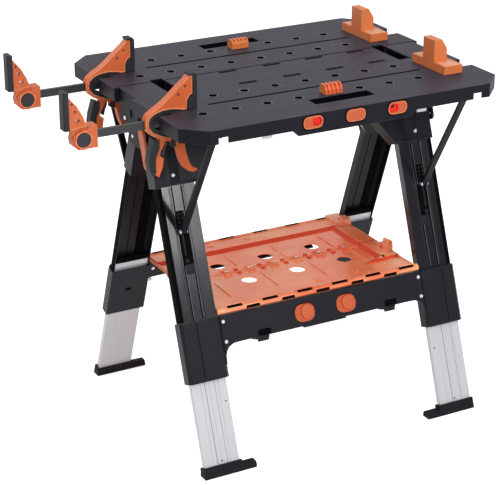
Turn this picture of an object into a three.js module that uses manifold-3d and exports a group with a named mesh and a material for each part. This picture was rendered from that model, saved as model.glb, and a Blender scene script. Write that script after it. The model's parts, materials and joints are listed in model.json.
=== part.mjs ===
// Folding workbench with two drop-down wings, a splayed folding leg frame on each long side,
// extending feet, a folding tray, two bar clamps and two bench dogs.
// Millimetres. +Z is up, +X runs along the bench, the clamps are at the -X end.
// The origin is on the floor below the middle of the whole length, clamps included.

import * as THREE from 'three';
import { mergeVertices } from 'three/addons/utils/BufferGeometryUtils.js';
import Module from 'manifold-3d';

const wasm = await Module();
wasm.setup();

// General fits
const fit = 0.3;
const hingeGap = 0.8;

// Top, made of the centre beam and a wing on each side
const topHeight = 805;
const topLength = 784;
const topWidth = 624;
const topSkin = 5;
const skirtHeight = 31;
const skirtWall = 4;
const cornerCut = 48;
const frontDrop = 13;
const frontDropLength = 308;
const frontDropSlope = 16;
const ribAt = 118;
const ribHeight = 20;

// Grid of dog holes, with a long groove between the rows of each wing
const gridX = 76.2;
const gridY = 101.6;
const holesPerRow = 9;
const holeDiameter = 20;
const holeSides = 12;
const grooveWidth = 6;
const grooveDepth = 3.5;
const grooveLength = 534;
const grooveY = 1.5 * gridY;

// Notch in each end of a wing, where a clamp takes hold
const notchWidth = 47;
const notchDepth = 30;

// Centre beam
const beamLength = 760;
const beamWidth = 92;
const beamDepth = 70;
const beamWall = 4;
const handSlotAt = 286;
const handSlotWidth = 32;
const handSlotDepth = 40;
const handSlotReach = 18;
const handSlotFloor = 3;
const fingerPitch = 111;
const fingerStart = -117;
const fingerCount = 4;
const fingerLength = 44;
const fingerWidth = 7;
const fingerDepth = 12;

// Latch slides on the wings
const recessFrom = -67;
const recessTo = 80;
const recessNear = 225;
const recessFar = 261;
const recessDepth = 18;
const knobAt = 4;
const knobLength = 42;
const knobWidth = 27;
const knobHeight = 21;
const knobRidge = 5;
const knobRidgeDepth = 5;
const knobRidges = 4;
const knobStem = 18;
const knobStemWidth = 8;
const knobTravel = 12;

// Coloured inserts in the outer edge
const insertPitch = 104;
const insertWidth = 47;
const insertHeight = 27;
const insertBelowTop = 18.8;
const insertProud = 1.2;
const insertPlate = 3;
const insertPocket = 2.6;

// Legs
const splay = THREE.MathUtils.degToRad(20);
const legPivotY = 20;
const pivotBelowTop = 106;
const legPivotZ = topHeight - pivotBelowTop;
const legX = 310;
const legWidth = 90;
const legWall = 2;
const legFront = 24.5;
const legBack = 6.5;
const legTop = -31;
const legEnd = -470;
const legGrooveAt = 17;
const legGrooveWidth = 3;
const legGrooveDepth = 1;
const slotTop = -162;
const slotBottom = -298;
const slotWidth = 13;
const slotDepth = 1.2;

// Leg sockets and the cheeks of the beam that hold them
const socketBottom = -106;
const socketTop = 16;
const socketOuter = 358.5;
const socketInner = 259;
const socketGusset = 219.5;
const socketGussetEnd = -50;
const socketProud = 3.5;
const socketBack = 9;
const cheekThick = 5;
const cheekGap = 0.6;
const cheekBelowPivot = 18;
const cheekBottom = legPivotZ - cheekBelowPivot;
const cheekHalf = 36;
const rodRadius = 4;

// Crossbar with its two sleeves
const sleeveTop = -405;
const sleeveBottom = -539;
const sleeveOuter = 359;
const sleeveInner = 261;
const sleeveFront = 34.5;
const sleeveBack = 4;
const sleeveBevel = 7;
const barFront = 32.75;
const barBack = 10.75;
const barWall = 4;
const barBottom = -469;
const hookAt = 166;
const hookWidth = 34;
const hookDrop = 11;
const capAt = 54;
const capDrop = 34;
const capWidth = 50;
const capHeight = 40;
const capProud = 4;
const capLip = 3;

// Leg extensions and feet
const slideClear = 0.4;
const extThick = 12;
const extWall = 1.6;
const extTop = -386;
const extClear = 7;
const footLength = 128;
const footOuter = 357;
const footWidth = 24;
const footHeight = 14;
const footCollar = 14;
const footWall = 4;

// Struts
const strutX = 313;
const strutWidth = 15;
const strutThick = 7;
const strutTopY = 272;
const strutBelowTop = 25;
const strutTopZ = topHeight - strutBelowTop;
const strutFootAt = -207;
const strutEye = 6;
const strutPin = 3.5;
const lugThick = 4;

// Tray
const trayHalf = 263.5;
const trayFloor = 4;
const trayBarrel = 8.8;
const trayKnuckle = 7;
const trayKnuckleGap = 1.5;
const trayFingers = 11;
const trayFingerGap = 0.8;
const trayPin = 2.5;
const trayLip = 1;
const trayRim = 4;
const trayRimTop = 3;
const trayHoleDiameter = 38;
const trayHoleY = 52;
const trayHoleShift = 14;
const trayHolePitch = 127;
const trayPost = 20;

// Release levers at the ends of the beam
const leverY = -33;
const leverBelowTop = 83;
const leverZ = topHeight - leverBelowTop;
const leverLength = 69;
const leverWidth = 24;
const leverThick = 5;
const leverHole = 9;

// Clamps
const barHeight = 17;
const barThick = 8;
const barBelowTop = 30.5;
const barLow = topHeight - barBelowTop;
const clampThick = 17;
const clampPadThick = 9;
const clampPadWidth = 24;
const clampHold = 55;
const clampFace = notchDepth + clampHold - topLength / 2;
const clampHeight = 72;
const barReach = 259;
const barTail = 71;
const barFrom = clampFace - barReach;
const barTo = clampFace + barTail;
const jawBlock = 28;
const jawArm = 16;
const jawOpening = 279;
const jawFace = clampFace - jawOpening;
const jawPadHeight = 80;
const jawPadThick = 12;
const buttonRadius = 15;
const buttonProud = 4;

// Dogs
const dogLength = 128;
const dogDepth = 48;
const dogBase = 19;
const dogHeight = 69;
const dogPlate = 44;
const dogPlateDepth = 34;
const dogSetback = 16;
const pegLength = 14;

// Colours
const orange = 0xe8642c;
const trayOrange = 0xec7440;
const anthracite = 0x4a4950;
const black = 0x232327;
const softBlack = 0x2b2b2f;
const aluminium = 0xd5d6d8;
const steel = 0xb9bbbe;

function material(color, roughness, metalness) {
  return new THREE.MeshStandardMaterial({ color, roughness, metalness });
}

// Solids from geometry, and back
function solid(geometry) {
  const bare = geometry.index ? geometry.toNonIndexed() : geometry.clone();
  for (const key of Object.keys(bare.attributes)) {
    if (key !== 'position') bare.deleteAttribute(key);
  }
  const merged = mergeVertices(bare, 1e-4);
  return new wasm.Manifold(new wasm.Mesh({
    numProp: 3,
    vertProperties: new Float32Array(merged.attributes.position.array),
    triVerts: new Uint32Array(merged.index.array),
  }));
}

function join(first, ...others) {
  return others.reduce((sum, part) => sum.add(part), first);
}

function cut(first, ...others) {
  return others.reduce((rest, part) => rest.subtract(part), first);
}

function meshOf(body, name, look) {
  const data = body.getMesh();
  const geometry = new THREE.BufferGeometry();
  geometry.setAttribute('position', new THREE.BufferAttribute(new Float32Array(data.vertProperties), 3));
  geometry.setIndex(new THREE.BufferAttribute(new Uint32Array(data.triVerts), 1));
  const flat = geometry.toNonIndexed();
  flat.computeVertexNormals();
  const mesh = new THREE.Mesh(flat, look);
  mesh.name = name;
  return mesh;
}

// Basic shapes in the bench's axes
function boxShape(x0, x1, y0, y1, z0, z1) {
  const geometry = new THREE.BoxGeometry(x1 - x0, y1 - y0, z1 - z0);
  geometry.translate((x0 + x1) / 2, (y0 + y1) / 2, (z0 + z1) / 2);
  return geometry;
}

function box(x0, x1, y0, y1, z0, z1) {
  return solid(boxShape(Math.min(x0, x1), Math.max(x0, x1), y0, y1, z0, z1));
}

function outline(points) {
  return new THREE.Shape(points.map(([a, b]) => new THREE.Vector2(a, b)));
}

function extrude(points, depth, holes = []) {
  const shape = outline(points);
  for (const hole of holes) shape.holes.push(outline(hole));
  return new THREE.ExtrudeGeometry(shape, { depth, bevelEnabled: false, steps: 1, curveSegments: 6 });
}

// Outline in (x, y), drawn up along z
function prismZ(points, z0, z1, holes) {
  const geometry = extrude(points, z1 - z0, holes);
  geometry.translate(0, 0, z0);
  return solid(geometry);
}

// Outline in (x, z), drawn along y
function prismY(points, y0, y1, holes) {
  const geometry = extrude(points, y1 - y0, holes);
  geometry.rotateX(Math.PI / 2);
  geometry.translate(0, y1, 0);
  return solid(geometry);
}

// Outline in (y, z), drawn along x
function prismX(points, x0, x1, holes) {
  const low = Math.min(x0, x1);
  const geometry = extrude(points, Math.abs(x1 - x0), holes);
  geometry.applyMatrix4(new THREE.Matrix4().makeBasis(
    new THREE.Vector3(0, 1, 0),
    new THREE.Vector3(0, 0, 1),
    new THREE.Vector3(1, 0, 0),
  ));
  geometry.translate(low, 0, 0);
  return solid(geometry);
}

function circle(a, b, radius, sides) {
  const points = [];
  for (let i = 0; i < sides; i += 1) {
    const angle = (2 * Math.PI * (i + 0.5)) / sides;
    points.push([a + radius * Math.cos(angle), b + radius * Math.sin(angle)]);
  }
  return points;
}

function rounded(a, b, width, height, radius, steps = 3) {
  const points = [];
  const corners = [[1, 1, 0], [-1, 1, 90], [-1, -1, 180], [1, -1, 270]];
  for (const [sa, sb, start] of corners) {
    for (let i = 0; i <= steps; i += 1) {
      const angle = THREE.MathUtils.degToRad(start + (90 * i) / steps);
      points.push([
        a + sa * (width / 2 - radius) + radius * Math.cos(angle),
        b + sb * (height / 2 - radius) + radius * Math.sin(angle),
      ]);
    }
  }
  return points;
}

// A smooth run of points through a few given ones
function smooth(points, steps) {
  const curve = new THREE.SplineCurve(points.map(([a, b]) => new THREE.Vector2(a, b)));
  return curve.getPoints(steps).map((p) => [p.x, p.y]);
}

const bench = new THREE.Group();

const topLow = topHeight - skirtHeight;
const skinLow = topHeight - topSkin;
const wingIn = -(beamWidth / 2 + hingeGap);
const wingOut = -topWidth / 2;
const fingerCentres = Array.from({ length: fingerCount }, (_, i) => fingerStart + i * fingerPitch);
const insertCentres = [-insertPitch, 0, insertPitch];
const insertZ = topHeight - insertBelowTop;
const insertBack = wingOut + skirtWall + fit + insertPlate;
const holeColumns = Array.from({ length: holesPerRow }, (_, i) => (i - (holesPerRow - 1) / 2) * gridX);

// Outline of a wing, drawn in by an even amount for the hollow below its skin
function wingOutline(inset) {
  const end = topLength / 2 - inset;
  const near = wingIn - inset;
  const far = wingOut + inset;
  const corner = cornerCut - inset * (2 - Math.SQRT2);
  const half = notchWidth / 2 + inset;
  const deep = topLength / 2 - notchDepth - inset;
  const right = [
    [end - corner, far],
    [end, far + corner],
    [end, -grooveY - half],
    [deep, -grooveY - half],
    [deep, -grooveY + half],
    [end, -grooveY + half],
    [end, near],
  ];
  const left = right.map(([x, y]) => [-x, y]).reverse();
  return [...right, ...left];
}

// One wing in the front position. The rear one is the same, turned half round.
function wingPanel(withFingers) {
  let panel = prismZ(wingOutline(0), topLow, topHeight);
  panel = cut(panel, prismZ(wingOutline(skirtWall), topLow - 1, skinLow));
  const half = frontDropLength / 2;
  panel = join(panel, prismY(
    [[-half, topLow + 1], [-half + frontDropSlope, topLow - frontDrop],
      [half - frontDropSlope, topLow - frontDrop], [half, topLow + 1]],
    wingOut,
    wingOut + skirtWall,
  ));
  for (const x of [-ribAt, ribAt]) {
    panel = join(panel, box(x - 2, x + 2, insertBack + fit, wingIn - 1, skinLow - ribHeight, skinLow + 1));
  }
  panel = join(panel, box(
    recessFrom - 3,
    recessTo + 3,
    -recessFar - 3,
    -recessNear + 3,
    topHeight - recessDepth - 3,
    skinLow + 1,
  ));
  for (const side of [-1, 1]) {
    for (const edge of [-1, 1]) {
      const inner = strutX + edge * (strutWidth / 2 + fit);
      const outer = inner + edge * lugThick;
      panel = join(panel, box(
        side * inner,
        side * outer,
        -strutTopY - 9,
        -strutTopY + 9,
        strutTopZ - strutEye,
        skinLow + 1,
      ));
    }
  }
  const cuts = [];
  cuts.push(box(recessFrom, recessTo, -recessFar, -recessNear, topHeight - recessDepth, topHeight + 1));
  for (const x of holeColumns) {
    for (const row of [gridY, 2 * gridY]) {
      if (x !== 0 || row === gridY) {
        cuts.push(prismZ(circle(x, -row, holeDiameter / 2, holeSides), skinLow - 1, topHeight + 1));
      }
    }
  }
  cuts.push(box(
    knobAt - knobStem / 2 - knobTravel - fit,
    knobAt + knobStem / 2 + knobTravel + fit,
    -2 * gridY - knobStemWidth / 2 - fit,
    -2 * gridY + knobStemWidth / 2 + fit,
    skinLow - 1,
    topHeight + 1,
  ));
  cuts.push(box(
    -grooveLength / 2,
    grooveLength / 2,
    -grooveY - grooveWidth / 2,
    -grooveY + grooveWidth / 2,
    topHeight - grooveDepth,
    topHeight + 1,
  ));
  for (const x of insertCentres) {
    cuts.push(prismY(
      rounded(x, insertZ, insertWidth + 2 * fit, insertHeight + 2 * fit, insertHeight * 0.4),
      wingOut - 1,
      wingOut + skirtWall + 1,
    ));
  }
  for (const side of [-1, 1]) {
    cuts.push(box(
      side * (strutX - strutWidth / 2 - lugThick),
      side * (strutX + strutWidth / 2 + lugThick),
      wingOut - 1,
      wingOut + skirtWall + 1,
      topLow - 1,
      strutTopZ + strutThick / 2 + 4,
    ));
    cuts.push(prismX(
      circle(-strutTopY, strutTopZ, strutPin + fit, 8),
      side * (strutX - strutWidth / 2 - lugThick - 1),
      side * (strutX + strutWidth / 2 + lugThick + 1),
    ));
    cuts.push(box(
      side * (handSlotAt - handSlotWidth / 2),
      side * (handSlotAt + handSlotWidth / 2),
      wingIn - handSlotReach,
      wingIn + 1,
      topLow - 1,
      topHeight + 1,
    ));
    cuts.push(box(
      side * (topLength / 2 - notchDepth - skirtWall - 1),
      side * (topLength / 2 - notchDepth + 1),
      -grooveY - barThick / 2 - 1.5,
      -grooveY + barThick / 2 + 1.5,
      topLow - 1,
      barLow + barHeight + 1.5,
    ));
  }
  if (withFingers) {
    for (const x of fingerCentres) {
      cuts.push(box(
        x - fingerLength / 2,
        x + fingerLength / 2,
        wingIn - fingerWidth,
        wingIn + 1,
        topHeight - fingerDepth,
        topHeight + 1,
      ));
    }
  }
  return cut(panel, ...cuts);
}

// Sliding latch knob with ridges across its back, on a stem through the skin
function latchKnob() {
  const low = topHeight + fit;
  const high = low + knobHeight;
  const y = -2 * gridY;
  const wide = knobWidth / 2;
  const x0 = knobAt - knobLength / 2;
  let knob = prismX(
    [[y - wide, low], [y + wide, low], [y + wide, high - 8], [y + wide - 6, high], [y - wide + 8, high],
      [y - wide, high - 11]],
    x0,
    x0 + knobLength,
  );
  const pitch = 2 * knobRidge;
  const first = knobAt - (knobRidges * pitch - knobRidge) / 2;
  for (let i = 0; i < knobRidges; i += 1) {
    const x = first + i * pitch;
    knob = cut(knob, box(x, x + knobRidge, y - wide - 1, y + wide + 1, high - knobRidgeDepth, high + 1));
  }
  return join(knob, box(
    knobAt - knobStem / 2,
    knobAt + knobStem / 2,
    y - knobStemWidth / 2,
    y + knobStemWidth / 2,
    skinLow - 3,
    low + 1,
  ));
}

// Moulded strip behind the front edge, showing as three oblong faces
function edgeInsert() {
  const back = wingOut + skirtWall + fit;
  const faceY = wingOut - insertProud;
  const reach = insertPitch + insertWidth / 2 + 5;
  const low = insertZ - insertHeight / 2 - 2;
  let strip = box(-reach, reach, back, insertBack, low, skinLow - fit);
  for (const x of insertCentres) {
    strip = join(strip, prismY(
      rounded(x, insertZ, insertWidth, insertHeight, insertHeight * 0.4),
      faceY,
      back + 1,
    ));
  }
  for (const side of [-1, 1]) {
    strip = cut(strip, prismY(
      rounded(
        side * (insertPitch - insertWidth * 0.2), insertZ + 1, insertWidth * 0.42, insertHeight * 0.62, 6,
      ),
      faceY - 1,
      faceY + insertPocket,
    ));
  }
  return strip;
}

// Place of a point given along and across a front leg
function alongLeg(across, along) {
  return [
    -legPivotY + across * Math.cos(splay) + along * Math.sin(splay),
    legPivotZ - across * Math.sin(splay) + along * Math.cos(splay),
  ];
}

// Flat strut from a wing's corner to the front of a leg
function strut(side) {
  const [footY, footZ] = alongLeg(-legFront - strutEye - fit - 0.2, strutFootAt);
  const top = new THREE.Vector2(-strutTopY, strutTopZ);
  const foot = new THREE.Vector2(footY, footZ);
  const along = foot.clone().sub(top).normalize();
  const across = new THREE.Vector2(-along.y, along.x).multiplyScalar(strutThick / 2);
  const x0 = side * (strutX - strutWidth / 2);
  const x1 = side * (strutX + strutWidth / 2);
  let bar = prismX(
    [
      [top.x + across.x, top.y + across.y],
      [top.x - across.x, top.y - across.y],
      [foot.x - across.x, foot.y - across.y],
      [foot.x + across.x, foot.y + across.y],
    ],
    x0,
    x1,
  );
  bar = join(
    bar,
    prismX(circle(top.x, top.y, strutEye - 0.5, 10), x0, x1),
    prismX(circle(foot.x, foot.y, strutEye, 10), x0, x1),
    prismX(
      circle(top.x, top.y, strutPin, 8),
      side * (strutX - strutWidth / 2 - lugThick + 0.5),
      side * (strutX + strutWidth / 2 + lugThick - 0.5),
    ),
  );
  return bar;
}

// The centre beam, a deep open-bottomed box with cheeks below it for the legs
function centreBeam() {
  const end = beamLength / 2;
  const half = beamWidth / 2;
  const low = topHeight - beamDepth;
  let beam = box(-end, end, -half, half, low, topHeight);
  beam = cut(beam, box(-end + beamWall, end - beamWall, -half + beamWall, half - beamWall, low - 1, skinLow));
  for (const x of [-1.5 * ribAt, 0, 1.5 * ribAt]) {
    beam = join(beam, box(x - 2, x + 2, -half + 1, half - 1, low + 5, skinLow + 1));
  }
  const inner = socketGusset - cheekGap - cheekThick;
  const outer = socketOuter + cheekGap;
  for (const side of [-1, 1]) {
    for (const x of [inner, outer]) {
      beam = join(beam, prismX(
        [[-half + 1, low + 25], [half - 1, low + 25], [half - 1, low], [cheekHalf, cheekBottom],
          [-cheekHalf, cheekBottom], [-half + 1, low]],
        side * x,
        side * (x + cheekThick),
      ));
    }
  }
  const slotLow = topHeight - handSlotDepth;
  for (const side of [-1, 1]) {
    const x = side * handSlotAt;
    const wide = handSlotWidth / 2 + handSlotFloor;
    beam = join(beam, box(x - wide, x + wide, -half + 1, half - 1, slotLow - handSlotFloor, slotLow));
  }
  const cuts = [];
  for (const side of [-1, 1]) {
    cuts.push(box(
      side * (handSlotAt - handSlotWidth / 2),
      side * (handSlotAt + handSlotWidth / 2),
      -half - 1,
      half + 1,
      slotLow,
      topHeight + 1,
    ));
    for (const x of [inner, outer]) {
      for (const y of [-legPivotY, legPivotY]) {
        cuts.push(prismX(
          circle(y, legPivotZ, rodRadius + fit, 10),
          side * (x - 1),
          side * (x + cheekThick + 1),
        ));
      }
    }
    cuts.push(prismX(
      circle(leverY, leverZ, rodRadius + fit, 10),
      side * (outer - 1),
      side * (outer + cheekThick + 1),
    ));
  }
  for (const x of fingerCentres) {
    cuts.push(box(
      x - fingerLength / 2,
      x + fingerLength / 2,
      half - fingerWidth,
      half + 1,
      topHeight - fingerDepth,
      topHeight + 1,
    ));
  }
  return cut(beam, ...cuts);
}

// Release lever hanging beside the outer cheek
function releaseLever(side) {
  const face = socketOuter + cheekGap + cheekThick + fit;
  const tilt = splay;
  const dirY = -Math.sin(tilt);
  const dirZ = -Math.cos(tilt);
  const wide = leverWidth / 2;
  const endY = leverY + dirY * leverLength;
  const endZ = leverZ + dirZ * leverLength;
  const left = [dirZ * wide, -dirY * wide];
  const points = [];
  for (let i = 0; i <= 6; i += 1) {
    const angle = Math.PI * (i / 6);
    const c = Math.cos(angle);
    const s = Math.sin(angle);
    points.push([endY + c * left[0] + s * dirY * wide, endZ + c * left[1] + s * dirZ * wide]);
  }
  for (let i = 0; i <= 6; i += 1) {
    const angle = Math.PI * (i / 6);
    const c = -Math.cos(angle);
    const s = -Math.sin(angle);
    points.push([leverY + c * left[0] + s * dirY * wide, leverZ + c * left[1] + s * dirZ * wide]);
  }
  const holeY = endY - dirY * 3;
  const holeZ = endZ - dirZ * 3;
  return join(
    prismX(
      points, side * face, side * (face + leverThick), [circle(holeY, holeZ, leverHole / 2, 8).reverse()],
    ),
    prismX(circle(leverY, leverZ, rodRadius, 10), side * (face - fit - cheekThick), side * (face + 1)),
  );
}

// A leg frame in its own axes: origin on the pivot, -z down along the legs, -y to the outside
function legSocket(side) {
  const back = socketBack;
  const front = -legFront - socketProud;
  let socket = prismY(
    [
      [side * socketGusset, socketTop + 1],
      [side * socketOuter, socketTop + 1],
      [side * socketOuter, socketBottom],
      [side * socketInner, socketBottom],
      [side * socketGusset, socketGussetEnd],
    ],
    front - 1,
    back + 1,
  );
  socket = socket.intersect(prismX(
    [[front, socketBottom], [back, socketBottom], [back, 2], [back - 7, socketTop], [-12, socketTop],
      [front, 4]],
    side * (socketGusset - 1),
    side * (socketOuter + 1),
  ));
  const half = legWidth / 2 + fit;
  return cut(
    socket,
    box(
      side * (legX - half), side * (legX + half), -legFront - fit, fit - legBack, socketBottom - 1, legTop + fit,
    ),
    prismX(circle(0, 0, rodRadius + fit, 10), side * (socketGusset - 1), side * (socketOuter + 1)),
  );
}

function legChannel(side) {
  const half = legWidth / 2;
  const front = -legFront;
  const inner = half - legWall;
  const points = [[-half, front]];
  for (const at of [-legGrooveAt, legGrooveAt]) {
    points.push([at - legGrooveWidth / 2, front]);
    points.push([at - legGrooveWidth / 2, front + legGrooveDepth]);
    points.push([at + legGrooveWidth / 2, front + legGrooveDepth]);
    points.push([at + legGrooveWidth / 2, front]);
  }
  points.push([half, front], [half, -legBack], [inner, -legBack], [inner, front + legWall]);
  points.push([-inner, front + legWall], [-inner, -legBack], [-half, -legBack]);
  const placed = points.map(([x, y]) => [x + side * legX, y]);
  return cut(
    prismZ(placed, legEnd, legTop),
    box(
      side * (strutX - slotWidth / 2),
      side * (strutX + slotWidth / 2),
      front - 1,
      front + slotDepth,
      slotBottom,
      slotTop,
    ),
  );
}

const extHalf = legWidth / 2 - legWall - slideClear;
const extFront = -legFront + legWall + slideClear;
const extBack = extFront + extThick;
// The extensions end just above the floor, and the feet lie below their middle
const extEnd = (extClear - legPivotZ + extBack * Math.sin(splay)) / Math.cos(splay);
const footMid = -alongLeg((extFront + extBack) / 2, extEnd)[0];
const footFront = footMid + footWidth / 2;
const footBack = footMid - footWidth / 2;

function legExtension(side) {
  const points = [[-extHalf, extFront]];
  for (const at of [-extHalf / 2, 0, extHalf / 2]) {
    points.push([at - 1.2, extFront], [at - 0.6, extFront + 0.8]);
    points.push([at + 0.6, extFront + 0.8], [at + 1.2, extFront]);
  }
  points.push([extHalf, extFront], [extHalf, extFront + extThick], [-extHalf, extFront + extThick]);
  const inner = extHalf - extWall;
  const hole = [
    [-inner, extFront + extWall],
    [-inner, extFront + extThick - extWall],
    [inner, extFront + extThick - extWall],
    [inner, extFront + extWall],
  ];
  const move = ([x, y]) => [x + side * legX, y];
  return prismZ(points.map(move), extEnd, extTop, [hole.map(move)]);
}

// Crossbar of a leg frame with a sleeve at each end
function crossbar() {
  const arch = [
    [sleeveInner + 1, sleeveBottom + 26],
    [sleeveInner, barBottom - 24],
    [sleeveInner - 4, barBottom - 14],
    [sleeveInner - 11, barBottom - 6],
    [sleeveInner - 22, barBottom - 1],
    [sleeveInner - 40, barBottom],
  ];
  const wallPoints = [
    [sleeveInner + 1, sleeveTop],
    ...arch,
    ...arch.map(([x, z]) => [-x, z]).reverse(),
    [-sleeveInner - 1, sleeveTop],
  ];
  let bar = prismY(wallPoints, -barFront, -barFront + barWall);
  bar = join(
    bar,
    box(-sleeveInner - 1, sleeveInner + 1, -barFront + 1, -barBack, sleeveTop - barWall, sleeveTop),
    box(-sleeveInner + 60, sleeveInner - 60, -barFront + 1, -barBack, barBottom, barBottom + barWall),
  );
  for (const side of [-1, 1]) {
    bar = join(bar, prismZ(
      [
        [side * sleeveInner, -sleeveBack],
        [side * sleeveInner, sleeveBevel - sleeveFront],
        [side * (sleeveInner + sleeveBevel), -sleeveFront],
        [side * (sleeveOuter - sleeveBevel), -sleeveFront],
        [side * sleeveOuter, sleeveBevel - sleeveFront],
        [side * sleeveOuter, -sleeveBack],
      ],
      sleeveBottom,
      sleeveTop,
    ));
    const x = side * hookAt;
    bar = join(
      bar,
      box(x - hookWidth / 2, x + hookWidth / 2, -barFront, -barBack, barBottom - 5, barBottom + 1),
      box(
        x - hookWidth / 2 + 6, x + hookWidth / 2 - 2, -barFront, -barFront + 6, barBottom - hookDrop, barBottom,
      ),
    );
  }
  const half = legWidth / 2 + fit;
  const cuts = [];
  for (const side of [-1, 1]) {
    cuts.push(
      box(
        side * (legX - half), side * (legX + half), -legFront - fit, fit - legBack, legEnd - fit, sleeveTop + 1,
      ),
      box(
        side * (legX - extHalf - fit),
        side * (legX + extHalf + fit),
        extFront - fit,
        extFront + extThick + fit,
        sleeveBottom - 1,
        legEnd + 1,
      ),
      prismY(
        rounded(side * capAt, sleeveTop - capDrop, capWidth + 2 * fit, capHeight + 2 * fit, capHeight * 0.42),
        -barFront - 1,
        -barFront + barWall + 1,
      ),
    );
  }
  return cut(bar, ...cuts);
}

// Oblong push cap in the crossbar, held by a lip behind the wall
function crossbarCap(side) {
  const back = -barFront + barWall + fit;
  return join(
    prismY(
      rounded(side * capAt, sleeveTop - capDrop, capWidth, capHeight, capHeight * 0.42),
      -barFront - capProud,
      back + 1,
    ),
    prismY(
      rounded(
        side * capAt, sleeveTop - capDrop, capWidth + 2 * capLip, capHeight + 2 * capLip, capHeight * 0.42,
      ),
      back,
      back + 3,
    ),
  );
}

// Foot of a front leg, flat on the floor, with a collar round the end of the extension
function foot(side) {
  const turn = new THREE.Matrix4().makeRotationX(-splay);
  turn.setPosition(0, -legPivotY, legPivotZ);
  const half = extHalf + fit;
  const collar = boxShape(
    side * legX - half - footWall,
    side * legX + half + footWall,
    extFront - fit - footWall,
    extFront + extThick + fit + footWall,
    extEnd - 12,
    extEnd + footCollar,
  );
  collar.applyMatrix4(turn);
  const pocket = boxShape(
    side * legX - half,
    side * legX + half,
    extFront - fit,
    extFront + extThick + fit,
    extEnd - fit,
    extEnd + footCollar + 1,
  );
  pocket.applyMatrix4(turn);
  const base = prismX(
    [[-footFront, 0], [-footBack, 0], [-footBack, footHeight - 4], [-footBack - 4, footHeight],
      [-footFront + 5, footHeight], [-footFront, footHeight - 6]],
    side * (footOuter - footLength),
    side * footOuter,
  );
  const below = box(-topLength, topLength, -topWidth, topWidth, -50, 0);
  return cut(join(base, cut(solid(collar), below)), solid(pocket));
}

function legFrame(end) {
  const turned = end === 'rear' ? -1 : 1;
  const nameOf = (side) => (side * turned < 0 ? 'left' : 'right');
  const outer = new THREE.Group();
  const frame = new THREE.Group();
  frame.position.set(0, -legPivotY, legPivotZ);
  frame.rotation.x = -splay;
  outer.add(frame);
  frame.add(meshOf(crossbar(), `crossbar_${end}`, material(black, 0.55, 0)));
  for (const side of [-1, 1]) {
    const tag = `${end}_${nameOf(side)}`;
    frame.add(meshOf(legSocket(side), `leg_socket_${tag}`, material(black, 0.5, 0)));
    frame.add(meshOf(legChannel(side), `leg_${tag}`, material(black, 0.35, 0.4)));
    frame.add(meshOf(legExtension(side), `leg_extension_${tag}`, material(aluminium, 0.35, 0.9)));
    frame.add(meshOf(crossbarCap(side), `crossbar_cap_${tag}`, material(orange, 0.45, 0)));
    outer.add(meshOf(foot(side), `foot_${tag}`, material(softBlack, 0.8, 0)));
  }
  return outer;
}

function wing(end) {
  const turned = end === 'rear' ? -1 : 1;
  const nameOf = (side) => (side * turned < 0 ? 'left' : 'right');
  const group = new THREE.Group();
  group.add(meshOf(wingPanel(end === 'front'), `wing_${end}`, material(anthracite, 0.6, 0)));
  group.add(meshOf(latchKnob(), `latch_knob_${end}`, material(orange, 0.45, 0)));
  group.add(meshOf(edgeInsert(), `edge_insert_${end}`, material(orange, 0.45, 0)));
  for (const side of [-1, 1]) {
    group.add(meshOf(strut(side), `strut_${end}_${nameOf(side)}`, material(black, 0.4, 0.5)));
  }
  return group;
}

// Half of the tray, from the axis on its crossbar to the axis in the middle
// Its floor lies level with the outer edge of the sleeves, which carry the free edge of the rear half.
// The axis in the middle lies just under the floor, so that the undersides meet as the tray folds upward.
const [ledgeY, ledgeZ] = alongLeg(-sleeveFront, sleeveTop);
const [axisAt, trayAxisZ] = alongLeg(-(barFront + barBack) / 2, sleeveTop + trayBarrel + 0.39);
const trayAxisY = -axisAt;
const floorLow = ledgeZ + fit;
const floorTop = floorLow + trayFloor;
const trayMidZ = floorLow - 1;

function trayHalfBody(end) {
  const front = end === 'front';
  const mid = trayKnuckle + trayKnuckleGap;
  let half = box(-trayHalf, trayHalf, -trayAxisY, -mid, floorLow, floorTop);
  const barrel = prismX(circle(-trayAxisY, trayAxisZ, trayBarrel, 12), -trayHalf, trayHalf);
  if (front) {
    half = join(half, barrel);
  } else {
    half = join(
      half,
      cut(barrel, box(
        -trayHalf - 1,
        trayHalf + 1,
        -trayAxisY - 2 * trayBarrel,
        -trayAxisY + 2 * trayBarrel,
        trayAxisZ - 2 * trayBarrel,
        floorLow,
      )),
      box(-trayHalf, trayHalf, ledgeY - trayLip, -trayAxisY, floorLow, trayAxisZ + trayRimTop),
    );
  }
  for (const side of [-1, 1]) {
    half = join(half, box(
      side * (trayHalf - trayRim),
      side * trayHalf,
      -trayAxisY,
      -mid - 12,
      floorLow,
      trayAxisZ + trayRimTop,
    ));
  }
  const step = (2 * trayHalf) / trayFingers;
  for (let i = 0; i < trayFingers; i += 1) {
    if ((i % 2 === 0) === front) {
      const x0 = -trayHalf + i * step + trayFingerGap / 2;
      const x1 = -trayHalf + (i + 1) * step - trayFingerGap / 2;
      half = join(
        half,
        prismX(circle(0, trayMidZ, trayKnuckle, 10), x0, x1),
        box(x0, x1, -mid - 1, 0, floorLow, floorTop),
      );
    }
  }
  const postSide = front ? 1 : -1;
  const postFrom = front ? -mid - 38 : -145;
  half = join(half, box(
    postSide * (trayHalf - trayPost),
    postSide * trayHalf,
    postFrom,
    postFrom + (front ? 12 : 30),
    floorLow + 1,
    floorTop + (front ? 15 : trayPost),
  ));
  const cuts = [];
  for (let i = -1; i <= 1; i += 1) {
    cuts.push(prismZ(
      circle(trayHoleShift + i * trayHolePitch, -trayHoleY, trayHoleDiameter / 2, 14),
      floorLow - 1,
      floorTop + 1,
    ));
  }
  cuts.push(prismX(circle(0, trayMidZ, trayPin + fit, 8), -trayHalf - 1, trayHalf + 1));
  return cut(half, ...cuts);
}

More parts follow.
